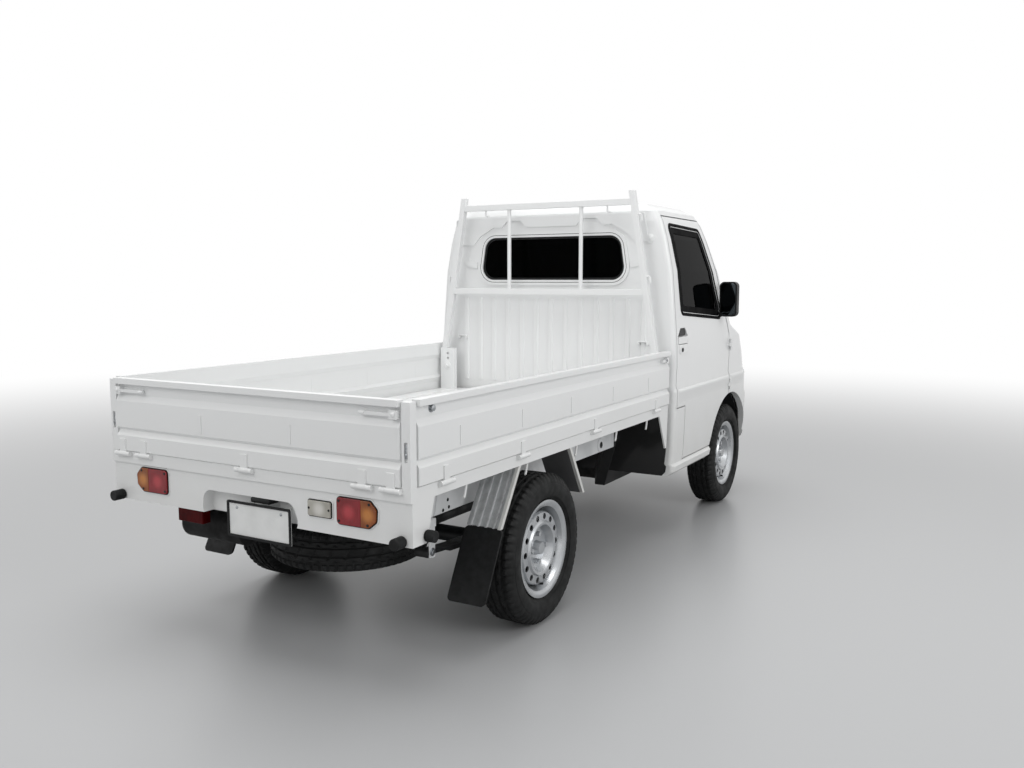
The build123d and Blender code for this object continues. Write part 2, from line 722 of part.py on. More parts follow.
with BuildPart() as glazing:
    add(common(glass_layer, screen_room))
    rear_pane = prism_y(REAR_WINDOW, CAB_BACK_Y + 8, CAB_BACK_Y + 8 + GLASS_GAUGE, REAR_WINDOW_CORNER)
    add(rear_pane)
save(glazing.part, "cab_glass")
save(common(shell, lamp_room), "head_lamps")
sunk = cut(cab_volume(GRILLE_INSET), hollow)
with BuildPart() as grille:
    add(common(sunk, grille_room))
    for level in range(3):
        z = 757 + level * 30
        add(block(-380, 380, FRONT_AXLE_Y, NOSE_Y + 50, z, z + 14), mode=Mode.SUBTRACT)
    add(common(sunk, intake_room))
save(grille.part, "grille")

# Cab inside: seats, dashboard and steering
SEAT_FRONT_Y = CAB_BACK_Y + 610
with BuildPart() as seat:
    cushion = [
        (CAB_BACK_Y + 150, 620), (SEAT_FRONT_Y, 620), (SEAT_FRONT_Y, 760), (CAB_BACK_Y + 190, 735),
        (CAB_BACK_Y + 140, 1270), (CAB_BACK_Y + 60, 1270), (CAB_BACK_Y + 75, 700),
    ]
    add(prism_x(cushion, 90, 360))
    add(prism_x(cushion, 359, 560))
    add(prism_x([(CAB_BACK_Y + 65, 1269), (CAB_BACK_Y + 135, 1269), (CAB_BACK_Y + 130, 1420),
                 (CAB_BACK_Y + 70, 1420)], 210, 440))
save(both_sides(seat.part), "seats")

DASH_Y = FRONT_AXLE_Y - 60
dash_side = [(DASH_Y - 130, 790), (DASH_Y - 150, 1060), (DASH_Y - 100, 1112), (DASH_Y + 60, 1112),
             (DASH_Y + 60, 790)]
dash = prism_x(dash_side, -HOOD_HALF + 2, HOOD_HALF - 2)
COLUMN_X = -330
wheel_centre = (COLUMN_X, DASH_Y - 330, 1080)
column_foot = (COLUMN_X, DASH_Y - 140, 940)
ears = common(
    block(-far, far, FRONT_AXLE_Y - 34, FRONT_AXLE_Y, 880, 1000),
    hollow,
)
save(joined(dash, ears, rod(wheel_centre, column_foot, 24)), "dashboard")
wheel_axis = Vector(*wheel_centre) - Vector(*column_foot)
wheel_base = Vector(*wheel_centre) + wheel_axis.normalized() * hub_gap
with BuildPart() as steering:
    with BuildSketch(Plane(origin=wheel_base, x_dir=(1, 0, 0), z_dir=wheel_axis)):
        Circle(180)
        Circle(155, mode=Mode.SUBTRACT)
        Rectangle(330, 34)
        with Locations((0, -85)):
            Rectangle(34, 160)
        Circle(48)
    extrude(amount=22)
save(steering.part, "steering_wheel")
save(block(-cross_half, cross_half, CAB_BACK_Y + 90, CAB_BACK_Y + 590, 262, 560), "engine_block")

# Bed: deck, posts, gates, tail panel and what hangs on it

GUSSET_GAUGE = 8
FRONT_GUSSET = [
    (BED_FRONT_Y - 123, SILL_BOTTOM), (BED_FRONT_Y - 1, SILL_BOTTOM),
    (BED_FRONT_Y - 16, 503), (BED_FRONT_Y - 32, 503),
]
DECK_HALF = BED_HALF_WIDTH + GATE_OUT - 15 - GATE_GAP - GATE_BACK + GATE_OUT
SIDE_HINGES = [190, 710, 1365, 2100]
TAIL_HINGES = [-640, -525, 0, 525, 640]
SIDE_HINGE_X = BED_HALF_WIDTH + HINGE_OUT
TAIL_HINGE_Y = TAIL_Y - HINGE_OUT
reach = HINGE_KNUCKLE / 2 + 0.5
with BuildPart() as deck:
    add(block(-DECK_HALF, DECK_HALF, TAIL_Y + POST_SIZE, BED_FRONT_Y, DECK_TOP - DECK_THICKNESS, DECK_TOP))
    for side in (-1, 1):
        low, high = sorted((side * (BED_HALF_WIDTH - 70), side * BED_HALF_WIDTH))
        add(block(low, high, TAIL_Y, BED_FRONT_Y, SILL_BOTTOM, SILL_TOP))
    add(block(-BED_HALF_WIDTH, BED_HALF_WIDTH, TAIL_Y, TAIL_Y + 60, SILL_BOTTOM, SILL_TOP))
    add(block(-BED_HALF_WIDTH, BED_HALF_WIDTH, BED_FRONT_Y - 50, BED_FRONT_Y, SILL_BOTTOM, SILL_TOP))
    for index in range(DECK_RIB_COUNT):
        x = (index - (DECK_RIB_COUNT - 1) / 2) * DECK_RIB_PITCH
        add(block(x - 18, x + 18, TAIL_Y + 70, BED_FRONT_Y - 110, DECK_TOP - 1, DECK_TOP + 6))
    for y in (TAIL_Y + 180, TAIL_Y + 640, TAIL_Y + 1250, TAIL_Y + 1720, BED_FRONT_Y - 230):
        add(block(-540, 540, y - 35, y + 35, RAIL_TOP, DECK_TOP - DECK_THICKNESS + 1))
    add(both_sides(prism_x(FRONT_GUSSET, BED_HALF_WIDTH - GUSSET_GAUGE, BED_HALF_WIDTH)))
    for station in SIDE_HINGES:
        for side in (-1, 1):
            for end in (-1, 1):
                y = TAIL_Y + station + end * (reach + HINGE_SIDE_KNUCKLE / 2)
                start = (side * SIDE_HINGE_X, y - HINGE_SIDE_KNUCKLE / 2, HINGE_Z)
                finish = (side * SIDE_HINGE_X, y + HINGE_SIDE_KNUCKLE / 2, HINGE_Z)
                add(rod(start, finish, HINGE_RADIUS))
                low, high = sorted((side * (BED_HALF_WIDTH - 1), side * SIDE_HINGE_X))
                add(block(low, high, start[1], finish[1], HINGE_Z - HINGE_RADIUS, HINGE_Z + 5))
    for station in TAIL_HINGES:
        for end in (-1, 1):
            x = station + end * (reach + HINGE_SIDE_KNUCKLE / 2)
            start = (x - HINGE_SIDE_KNUCKLE / 2, TAIL_HINGE_Y, HINGE_Z)
            finish = (x + HINGE_SIDE_KNUCKLE / 2, TAIL_HINGE_Y, HINGE_Z)
            add(rod(start, finish, HINGE_RADIUS))
            add(block(start[0], finish[0], TAIL_HINGE_Y, TAIL_Y + 1, HINGE_Z - HINGE_RADIUS, HINGE_Z + 5))
save(deck.part, "bed_floor")

GATE_BOTTOM = SILL_TOP + GATE_GAP
GATE_SKIN = [
    # outwards of the sill's face, height above the gate's foot
    (GATE_OUT, 0),
    (GATE_OUT, 57),
    (GATE_OUT - 14, 78),
    (GATE_OUT - 2, 89),
    (GATE_OUT - 2, 190),
    (GATE_OUT - 14, 215),
    (GATE_OUT - 14, 256),
    (GATE_OUT + 7, 256),
    (GATE_OUT + 7, GATE_TOP - GATE_BOTTOM),
    (-GATE_BACK, GATE_TOP - GATE_BOTTOM),
    (-GATE_BACK, 210),
    (-GATE_BACK + 11, 188),
    (-GATE_BACK + 11, 92),
    (-GATE_BACK, 76),
    (-GATE_BACK + 11, 50),
    (-GATE_BACK + 11, 0),
]


def gate(plane, length, hinges, fittings):
    """Pressed drop-side gate drawn along its hinge line: plane X outwards, Y up, Z along."""
    with BuildPart() as panel:
        with BuildSketch(plane):
            with BuildLine():
                Polyline(*GATE_SKIN, close=True)
            make_face()
        extrude(amount=length)
        for station in hinges:
            with BuildSketch(plane.offset(station - HINGE_KNUCKLE / 2)):
                with Locations((HINGE_OUT, HINGE_Z - GATE_BOTTOM)):
                    Circle(HINGE_RADIUS)
            extrude(amount=HINGE_KNUCKLE)
            with BuildSketch(plane.offset(station - HINGE_KNUCKLE / 2 + 4)):
                with Locations((GATE_OUT + 2, (HINGE_Z - GATE_BOTTOM + 44) / 2)):
                    Rectangle(7, 44 - HINGE_Z + GATE_BOTTOM)
            extrude(amount=HINGE_KNUCKLE - 8)
        for station, span, low, high, out in fittings:
            with BuildSketch(plane.offset(station - span / 2)):
                with Locations(((GATE_OUT - 16 + out) / 2, (low + high) / 2)):
                    Rectangle(out - GATE_OUT + 16, high - low)
            extrude(amount=span)
    return panel.part


tail_half = BED_HALF_WIDTH - POST_SIZE - GATE_GAP
tail_plane = Plane(origin=(tail_half, TAIL_Y, GATE_BOTTOM), x_dir=(0, -1, 0), z_dir=(-1, 0, 0))
LATCH_X = 655
LEVER_SPAN = 132
BEAD_X = 215
TAIL_FITTINGS = [
    # station from the right end, span, low, high, outwards reach
    (tail_half - LATCH_X + LEVER_SPAN / 2, LEVER_SPAN, 224, 236, 9),
    (tail_half + LATCH_X - LEVER_SPAN / 2, LEVER_SPAN, 224, 236, 9),
    (tail_half - LATCH_X, 30, 217, 246, 13),
    (tail_half + LATCH_X, 30, 217, 246, 13),
    (tail_half - BEAD_X, 9, 98, 165, 7),
    (tail_half + BEAD_X, 9, 98, 165, 7),
]
tail_stations = [tail_half - x for x in TAIL_HINGES]
save(gate(tail_plane, 2 * tail_half, tail_stations, TAIL_FITTINGS), "tailgate")

side_start = TAIL_Y + POST_SIZE + GATE_GAP
side_length = BED_FRONT_Y - side_start
side_plane = Plane(origin=(BED_HALF_WIDTH, BED_FRONT_Y, GATE_BOTTOM), x_dir=(1, 0, 0), z_dir=(0, -1, 0))
SIDE_BEADS = [283, 712, 1128, 1560, 1995]
SIDE_FITTINGS = [
    # station from the front end, span, low, high, outwards reach
    (75, 70, 226, 240, 11),
    (48, 26, 219, 248, 14),
] + [(BED_LENGTH - bead, 9, 98, 165, 7) for bead in SIDE_BEADS]
side_stations = [BED_LENGTH - station for station in SIDE_HINGES]
gate_right = gate(side_plane, side_length, side_stations, SIDE_FITTINGS)
save(gate_right, "gate_right")
save(mirror(gate_right, about=Plane.YZ), "gate_left")

post = block(BED_HALF_WIDTH - POST_SIZE, BED_HALF_WIDTH, TAIL_Y, TAIL_Y + POST_SIZE, SILL_TOP, GATE_TOP - 6)
latch_slot = block(BED_HALF_WIDTH - 24, BED_HALF_WIDTH - 11, TAIL_Y - 1, TAIL_Y + 9, 815, 880)
front_post = block(590, 682, BED_FRONT_Y - 66, BED_FRONT_Y - 34, DECK_TOP, FRONT_POST_TOP)
with BuildPart() as posts:
    add(cut(post, latch_slot))
    add(front_post)
    with BuildSketch(Plane.XZ.offset(-BED_FRONT_Y + 20)):
        with Locations((632, 954), (632, 926)):
            Circle(7)
    extrude(amount=60, mode=Mode.SUBTRACT)
save(both_sides(posts.part), "bed_posts")

PLATE_POCKET = [(-236, 520), (-224, 626), (206, 626), (250, 520)]
POCKET_DEPTH = 60
LAMP_OUTLINE = [(411, 584), (543, 584), (573, 608), (576, 648), (550, 674), (411, 674)]
LAMP_SPLIT = 512
LAMP_CORNER = 14
REVERSE_LAMP = [(285, 597), (384, 597), (384, 650), (285, 650)]
PANEL_Y = TAIL_Y + PANEL_SET_IN
LAMP_OUT = 11
LAMP_BACK = 40
ahead_of_tail = TAIL_Y - 60
lamp_holes = both_sides(prism_y(LAMP_OUTLINE, ahead_of_tail, PANEL_Y + LAMP_BACK, LAMP_CORNER))
reverse_hole = prism_y(REVERSE_LAMP, ahead_of_tail, PANEL_Y + LAMP_BACK, 6)
with BuildPart() as tail:
    add(block(-BED_HALF_WIDTH, BED_HALF_WIDTH, PANEL_Y, PANEL_Y + PANEL_GAUGE, PANEL_BOTTOM, SILL_BOTTOM))
    add(block(-BED_HALF_WIDTH, BED_HALF_WIDTH, PANEL_Y, PANEL_Y + 24, PANEL_BOTTOM, PANEL_BOTTOM + PANEL_GAUGE))
    wing = [
        (PANEL_Y, SILL_BOTTOM), (TAIL_Y + 132, SILL_BOTTOM), (TAIL_Y + 84, PANEL_BOTTOM), (PANEL_Y, PANEL_BOTTOM),
    ]
    add(both_sides(prism_x(wing, BED_HALF_WIDTH - PANEL_GAUGE, BED_HALF_WIDTH)))
    add(prism_y(PLATE_POCKET, PANEL_Y, TAIL_Y + POCKET_DEPTH, 40, PANEL_GAUGE))
    add(prism_y(PLATE_POCKET, ahead_of_tail, TAIL_Y + POCKET_DEPTH - PANEL_GAUGE, 40), mode=Mode.SUBTRACT)
    add(block(-400, 400, ahead_of_tail, TAIL_Y + 100, 480, PANEL_BOTTOM), mode=Mode.SUBTRACT)
    add(lamp_holes, mode=Mode.SUBTRACT)
    add(reverse_hole, mode=Mode.SUBTRACT)
save(tail.part, "rear_panel")
lamp_room_y = (PANEL_Y - LAMP_OUT, PANEL_Y + LAMP_BACK)
inner_part = both_sides(block(0, LAMP_SPLIT, *lamp_room_y, PANEL_BOTTOM, SILL_BOTTOM))
outer_part = both_sides(block(LAMP_SPLIT, BED_HALF_WIDTH, *lamp_room_y, PANEL_BOTTOM, SILL_BOTTOM))
save(common(lamp_holes, inner_part), "tail_lamps")
save(common(lamp_holes, outer_part), "turn_lamps")
save(common(reverse_hole, block(0, LAMP_SPLIT, *lamp_room_y, PANEL_BOTTOM, SILL_BOTTOM)), "reverse_lamp")
save(block(-368, -238, PANEL_Y + 2, PANEL_Y + LAMP_BACK, 490, PANEL_BOTTOM), "fog_lamp")
PLATE_X = (-92, 207)
PLATE_Z = (476, 604)
PLATE_GAUGE = 4
BRACKET_WIDTH = 26
with BuildPart() as number_plate:
    add(block(*PLATE_X, TAIL_Y - PLATE_GAUGE / 2, TAIL_Y + PLATE_GAUGE / 2, *PLATE_Z))
    for x in (PLATE_X[0] + 50, PLATE_X[1] - 50 - BRACKET_WIDTH):
        bracket_y = (TAIL_Y + PLATE_GAUGE / 2 - 1, TAIL_Y + POCKET_DEPTH - PANEL_GAUGE)
        add(block(x, x + BRACKET_WIDTH, *bracket_y, PLATE_Z[1] - 40, PLATE_Z[1] - 14))
save(number_plate.part, "rear_plate")
with BuildPart() as stops:
    for side in (-1, 1):
        add(rod((side * STOP_X, PANEL_Y, STOP_Z), (side * STOP_X, TAIL_Y - STOP_LENGTH, STOP_Z), STOP_RADIUS))
        add(rod(
            (side * BED_HALF_WIDTH, TAIL_Y + 84, STOP_Z + 8),
            (side * (BED_HALF_WIDTH + STOP_LENGTH - 4), TAIL_Y + 84, STOP_Z + 8),
            STOP_RADIUS,
        ))
save(stops.part, "gate_stops")

# Guard frame: leaning posts, two rails and two thin uprights
lean = (GUARD_FOOT_X - GUARD_HEAD_X) / (GUARD_TOP - FRONT_POST_TOP)


def guard_x(z):
    return GUARD_FOOT_X - lean * (z - FRONT_POST_TOP)


half_tube = GUARD_TUBE / 2
post_face = [
    (GUARD_FOOT_X - half_tube, FRONT_POST_TOP), (GUARD_FOOT_X + half_tube, FRONT_POST_TOP),
    (GUARD_HEAD_X + half_tube, GUARD_TOP), (GUARD_HEAD_X - half_tube, GUARD_TOP),
]
guard_post = prism_y(post_face, GUARD_Y - half_tube, GUARD_Y + half_tube)
save(both_sides(guard_post), "guard_posts")
with BuildPart() as guard_rails:
    for z in (GUARD_MID_RAIL_Z, GUARD_TOP_RAIL_Z):
        low, high = z - half_tube, z + half_tube
        rail_face = [
            (-guard_x(low) + half_tube, low), (guard_x(low) - half_tube, low),
            (guard_x(high) - half_tube, high), (-guard_x(high) + half_tube, high),
        ]
        add(prism_y(rail_face, GUARD_Y - half_tube, GUARD_Y + half_tube))
save(guard_rails.part, "guard_rails")
with BuildPart() as uprights:
    for x in (-GUARD_UPRIGHT_X, GUARD_UPRIGHT_X):
        add(rod((x, GUARD_Y, GUARD_MID_RAIL_Z + half_tube), (x, GUARD_Y, GUARD_TOP_RAIL_Z - half_tube),
                GUARD_UPRIGHT_RADIUS))
save(uprights.part, "guard_uprights")

# Under the bed: mudguards, flaps, tank, silencer, spare wheel and propeller shaft
FLAP_INNER = 553
FLAP_OUTER = 716
FLANGE_WIDTH = 14
RIB_COUNT = 4
RIB_PITCH = 34
TANK_Y = TAIL_Y + 1560
TANK_LENGTH = 480
TANK_WIDTH = 150
TANK_BOTTOM = 400
TANK_DEPTH = 200
TANK_CORNER = 30
rear_guard = [
    (TAIL_Y + 718, SILL_BOTTOM), (TAIL_Y + 714, SILL_BOTTOM), (TAIL_Y + 572, 467), (TAIL_Y + 576, 467),
]
front_guard = [
    (TAIL_Y + 1130, SILL_BOTTOM), (TAIL_Y + 1134, SILL_BOTTOM), (TAIL_Y + 1266, 466), (TAIL_Y + 1262, 466),
]
flange_in = BED_HALF_WIDTH - 4 - FLANGE_WIDTH
with BuildPart() as splash:
    for guard, turn in ((rear_guard, -1), (front_guard, 1)):
        add(prism_x(guard, FLAP_INNER, BED_HALF_WIDTH - 4))
        edge = [(y + turn * FLANGE_WIDTH * (index in (1, 2)), z) for index, (y, z) in enumerate(guard)]
        add(prism_x(edge, flange_in, BED_HALF_WIDTH - 4))
    for index in range(RIB_COUNT):
        x = FLAP_INNER + 14 + index * RIB_PITCH
        rib_top = [(TAIL_Y + 706, SILL_BOTTOM), (TAIL_Y + 715, SILL_BOTTOM)]
        rib_foot = [(TAIL_Y + 573, 467), (TAIL_Y + 564, 467)]
        add(prism_x(rib_top + rib_foot, x, x + 10))
save(both_sides(splash.part), "mud_guards")
flap_side = [(TAIL_Y + 562, 467), (TAIL_Y + 576, 467), (TAIL_Y + 438, 214), (TAIL_Y + 430, 214)]
save(both_sides(prism_x(flap_side, FLAP_INNER, FLAP_OUTER)), "mud_flaps")
tank_in = RAIL_X + RAIL_WIDTH / 2
with BuildPart() as tank:
    tank_z = (TANK_BOTTOM, TANK_BOTTOM + TANK_DEPTH)
    add(block(-tank_in - TANK_WIDTH, -tank_in, TANK_Y, TANK_Y + TANK_LENGTH, *tank_z))
    fillet(tank.edges().filter_by(Axis.Y), TANK_CORNER)
save(tank.part, "fuel_tank")
with BuildPart() as silencer:
    add(rod((-500, TAIL_Y + 180, 440), (-150, TAIL_Y + 180, 440), 62))
    chamfer(silencer.edges().filter_by(GeomType.CIRCLE), 22)
    add(block(-RAIL_X - 12, -RAIL_X + 12, TAIL_Y + 160, TAIL_Y + 200, 470, rail_bottom))
save(silencer.part, "silencer")
spare_plane = Plane(origin=(SPARE_X, SPARE_Y, SPARE_Z), x_dir=(0, 0, -1), z_dir=(0, 1, 0))
save(tyre_at(spare_plane), "spare_tyre")
save(rim_at(spare_plane), "spare_rim")
shaft = rod((40, REAR_AXLE_Y + 150.3, TYRE_RADIUS), (40, CAB_BACK_Y + 89.7, TYRE_RADIUS - 4), 32)
save(shaft, "prop_shaft")
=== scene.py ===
import math

import bmesh
import bpy
from mathutils import Matrix, Vector
from mathutils.bvhtree import BVHTree


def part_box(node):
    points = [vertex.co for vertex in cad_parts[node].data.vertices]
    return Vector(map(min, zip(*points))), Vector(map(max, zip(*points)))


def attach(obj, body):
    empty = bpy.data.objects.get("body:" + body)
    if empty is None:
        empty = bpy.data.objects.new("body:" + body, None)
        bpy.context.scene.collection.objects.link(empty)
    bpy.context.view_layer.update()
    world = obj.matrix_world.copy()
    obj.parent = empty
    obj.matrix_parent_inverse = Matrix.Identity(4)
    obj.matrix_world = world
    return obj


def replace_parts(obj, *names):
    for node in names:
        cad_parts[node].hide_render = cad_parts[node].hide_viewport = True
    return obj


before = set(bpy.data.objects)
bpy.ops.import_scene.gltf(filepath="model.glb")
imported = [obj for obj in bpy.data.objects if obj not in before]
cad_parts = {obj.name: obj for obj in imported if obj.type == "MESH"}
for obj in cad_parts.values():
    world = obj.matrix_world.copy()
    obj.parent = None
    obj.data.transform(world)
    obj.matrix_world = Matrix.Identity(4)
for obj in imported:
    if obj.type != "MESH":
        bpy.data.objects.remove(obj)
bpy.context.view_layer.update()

# Frame rails and cross-members: bent channel pressed from sheet steel, welded up into a ladder
# and dipped in light grey primer, which dries a little uneven and takes road dust.
RAIL_LIGHT = "#E0E1E2"
RAIL_DARK = "#CACCCD"
RAIL_PATCH_MM = 160
RAIL_EDGE_MM = 4


def linear(code):
    """Linear RGBA of an sRGB hex colour."""
    parts = [int(code[i:i + 2], 16) / 255 for i in (1, 3, 5)]
    return [c / 12.92 if c <= 0.04045 else ((c + 0.055) / 1.055) ** 2.4 for c in parts] + [1.0]


def node(material, kind, inputs, **settings):
    """Adds a shader node and gives its outputs; an input is a value, or a socket to link from."""
    made = material.node_tree.nodes.new("ShaderNode" + kind)
    for key, value in settings.items():
        setattr(made, key, value)
    for key, value in inputs.items():
        if isinstance(value, bpy.types.NodeSocket):
            material.node_tree.links.new(value, made.inputs[key])
        else:
            made.inputs[key].default_value = value
    return made.outputs


def surface(name, values):
    """A new material, with the given values on the sockets of its surface shader."""
    material = bpy.data.materials.new(name)
    material.use_nodes = True
    for key, value in values.items():
        material.node_tree.nodes["Principled BSDF"].inputs[key].default_value = value
    return material


def wire(material, sockets):
    """Links sockets to the named inputs of a material's surface shader."""
    for key, socket in sockets.items():
        material.node_tree.links.new(socket, material.node_tree.nodes["Principled BSDF"].inputs[key])


def mottled(name, light, dark, patch_mm, rough, grit_mm, relief_mm, values=None):
    """A finish that drifts between two colours over patches, with roughness to match and raised grit."""
    material = surface(name, values or {})
    place = node(material, "TexCoord", {})["Object"]
    patch = node(material, "TexNoise", {"Vector": place, "Scale": 1000 / patch_mm, "Detail": 6.0})
    spread = node(material, "MapRange", {0: patch[0], 1: 0.35, 2: 0.65})[0]
    tint = node(material, "Mix", {0: spread, 6: linear(light), 7: linear(dark)}, data_type="RGBA")
    gloss = node(material, "MapRange", {0: spread, 3: rough[0], 4: rough[1]})
    grit = node(material, "TexNoise", {"Vector": place, "Scale": 1000 / grit_mm, "Detail": 2.0})
    relief = node(material, "Bump", {"Height": grit[0], "Distance": relief_mm / 1000})
    wire(material, {"Base Color": tint[2], "Roughness": gloss[0], "Normal": relief[0]})
    return material


def dress(material, names, edge_mm=0.0, edge_deg=32):
    """Gives CAD nodes a finish, and rolls the edges that turn sharply where an edge radius is stated."""
    for name in names:
        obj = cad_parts[name]
        obj.data.materials.clear()
        obj.data.materials.append(material)
        if edge_mm:
            weld = obj.modifiers.new("weld", "WELD")
            weld.merge_threshold = 2e-5
            flat = obj.modifiers.new("flat", "DECIMATE")
            flat.decimate_type = "DISSOLVE"
            flat.angle_limit = math.radians(0.2)
            bevel = obj.modifiers.new("roll", "BEVEL")
            bevel.width = edge_mm / 1000
            bevel.segments = 2
            bevel.limit_method = "ANGLE"
            bevel.angle_limit = math.radians(edge_deg)
            bevel.miter_outer = "MITER_ARC"
            obj.modifiers.new("normals", "WEIGHTED_NORMAL")


# Primer: dull, even, slightly chalky
grey_primer = mottled("grey_primer", RAIL_LIGHT, RAIL_DARK, RAIL_PATCH_MM, (0.45, 0.62), 2.5, 0.05)
dress(grey_primer, ["frame_rails", "frame_crossmembers"], RAIL_EDGE_MM)

# Axle, propeller shaft, steering knuckles and arms: forgings and tube in black chassis enamel,
# brushed on thick and dulled by road film.
CHASSIS_LIGHT = "#1D1F20"
CHASSIS_DARK = "#0E0F10"
# Chassis enamel: near black with a patchy, half dull sheen
chassis_black = mottled("chassis_black", CHASSIS_LIGHT, CHASSIS_DARK, 90, (0.4, 0.7), 2.0, 0.12,
                        {"Specular IOR Level": 0.3})
dress(chassis_black, ["rear_axle", "prop_shaft", "front_suspension", "knuckle_left", "knuckle_right"], 2)

# Leaf springs: black spring-steel leaves on the axle, held by plated U-bolts and shackle bolts. Their
# hangers and shackle plates are dipped in the same light primer as the rails.
UBOLT_RADIUS = 0.006
UBOLT_APART = 0.084
UBOLT_HALF = 0.033
UBOLT_TOP = 0.078
UBOLT_FOOT = 0.05
SPRING_MIDDLE = 0.038
SHACKLE_GAUGE = 0.0075
EYE_RISE = 0.093
EYE_INSET = 0.02
EYE_BOLT = 0.018
HANGER_FOOT = 0.45
# station forward of which the rails and cross-members are painted near black as painted shade
RAIL_PAINTED_SHADE_FROM = 0.14


def shown(name, data):
    """A new object, put into the scene."""
    obj = bpy.data.objects.new(name, data)
    bpy.context.scene.collection.objects.link(obj)
    return obj


def piece(name, shape, material, body="truck", sharp=40):
    """A new object from a bmesh or from (points, faces), smooth but for its sharp edges, on a body."""
    mesh = bpy.data.meshes.new(name)
    if isinstance(shape, bmesh.types.BMesh):
        bmesh.ops.recalc_face_normals(shape, faces=shape.faces)
        shape.to_mesh(mesh)
        shape.free()
    else:
        mesh.from_pydata([tuple(p) for p in shape[0]], [], shape[1])
    mesh.shade_smooth()
    mesh.set_sharp_from_angle(angle=math.radians(sharp))
    mesh.materials.append(material)
    obj = shown(name, mesh)
    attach(obj, body)
    return obj


def join_rows(bm, rows, ring=True, loop=False):
    """Skins rows of like points and caps what stays open, and gives the caps.

    Each row closes on itself if ring is set, and the last row on the first if loop is.
    """
    rows = [[bm.verts.new(p) for p in row] for row in rows]
    for row, ahead in zip(rows, rows[1:] + (rows[:1] if loop else [])):
        for k in range(len(row) if ring else len(row) - 1):
            k2 = (k + 1) % len(row)
            bm.faces.new((row[k], row[k2], ahead[k2], ahead[k]))
    if ring and loop:
        return []
    ends = (rows[0], rows[-1]) if ring else ([row[0] for row in rows], [row[-1] for row in rows])
    return [bm.faces.new(ends[0][::-1]), bm.faces.new(ends[1])]


def circle(sides):
    """Cosine and sine of even steps round a circle."""
    turns = [2 * math.pi * k / sides for k in range(sides)]
    return [(math.cos(t), math.sin(t)) for t in turns]


def add_tube(bm, points, radius, sides=10, closed=False):
    """Sweeps a round bar along points, with flat ends unless it is closed."""
    points = [Vector(p) for p in points]
    count = len(points)
    side = None
    rings = []
    for i, here in enumerate(points):
        after = points[(i + 1) % count] if closed or i + 1 < count else here
        before = points[i - 1] if closed or i else here
        along = (after - before).normalized()
        side = side or along.orthogonal().normalized()
        side = (side - along * side.dot(along)).normalized()
        up = along.cross(side)
        rings.append([here + (side * c + up * s) * radius for c, s in circle(sides)])
    join_rows(bm, rings, loop=closed)


def add_turned(bm, base, axis, profile, sides=16):
    """Turns a profile of (radius, height) about an axis through base and closes both ends."""
    axis = Vector(axis).normalized()
    side = axis.orthogonal().normalized()
    up = axis.cross(side)
    join_rows(bm, [[Vector(base) + axis * height + (side * c + up * s) * radius for c, s in circle(sides)]
                   for radius, height in profile])


def add_bolt(bm, base, axis, across=0.013):
    """A hexagon head on a washer."""
    add_turned(bm, base, axis, [(across * 0.85, -0.001), (across * 0.85, 0.0015)], 16)
    add_turned(bm, base, axis, [(across * 0.58, 0.001), (across * 0.58, 0.006), (across * 0.48, 0.008)], 6)


def roll(bm, edges, radius, segments=2):
    """Rolls edges to a radius."""
    bmesh.ops.bevel(bm, geom=list(edges), offset=radius, segments=segments, profile=0.5, affect="EDGES")


def add_prism(bm, outline, depth, edge=0.0):
    """A plate: a closed outline of points pushed along depth, with rolled edges."""
    caps = join_rows(bm, [outline, [Vector(p) + Vector(depth) for p in outline]])
    if edge:
        roll(bm, {e for cap in caps for e in cap.edges}, edge)


def add_block(bm, low, high, edge=0.002, segments=2):
    """A box between two opposite corners, with every edge rolled."""
    low, high = Vector(low), Vector(high)
    size = [abs(s) for s in high - low]
    place = Matrix.Translation((low + high) / 2) @ Matrix.Diagonal((*size, 1))
    made = bmesh.ops.create_cube(bm, size=1, matrix=place)
    roll(bm, {e for v in made["verts"] for e in v.link_edges}, min(edge, min(size) * 0.45), segments)


def mask_beyond(material, axis, limit, folded=False):
    """A mask that is 1 where a piece lies further along an axis than a limit, on both sides if folded."""
    place = node(material, "TexCoord", {})["Object"]
    reach = node(material, "SeparateXYZ", {0: place})[axis]
    if folded:
        reach = node(material, "Math", {0: reach}, operation="ABSOLUTE")[0]
    return node(material, "Math", {0: reach, 1: limit}, operation="GREATER_THAN")[0]


def overpaint(material, mask, code):
    """Lays one more colour over a finish where a mask is 1."""
    below = material.node_tree.nodes["Principled BSDF"].inputs["Base Color"].links[0].from_socket
    over = node(material, "Mix", {0: mask, 6: below, 7: linear(code)}, data_type="RGBA")
    wire(material, {"Base Color": over[2]})


# Spring steel: blued black with a faint scale
spring_steel = mottled("spring_steel", "#1E1F20", "#101011", 60, (0.35, 0.6), 1.5, 0.08, {"Metallic": 0.3})
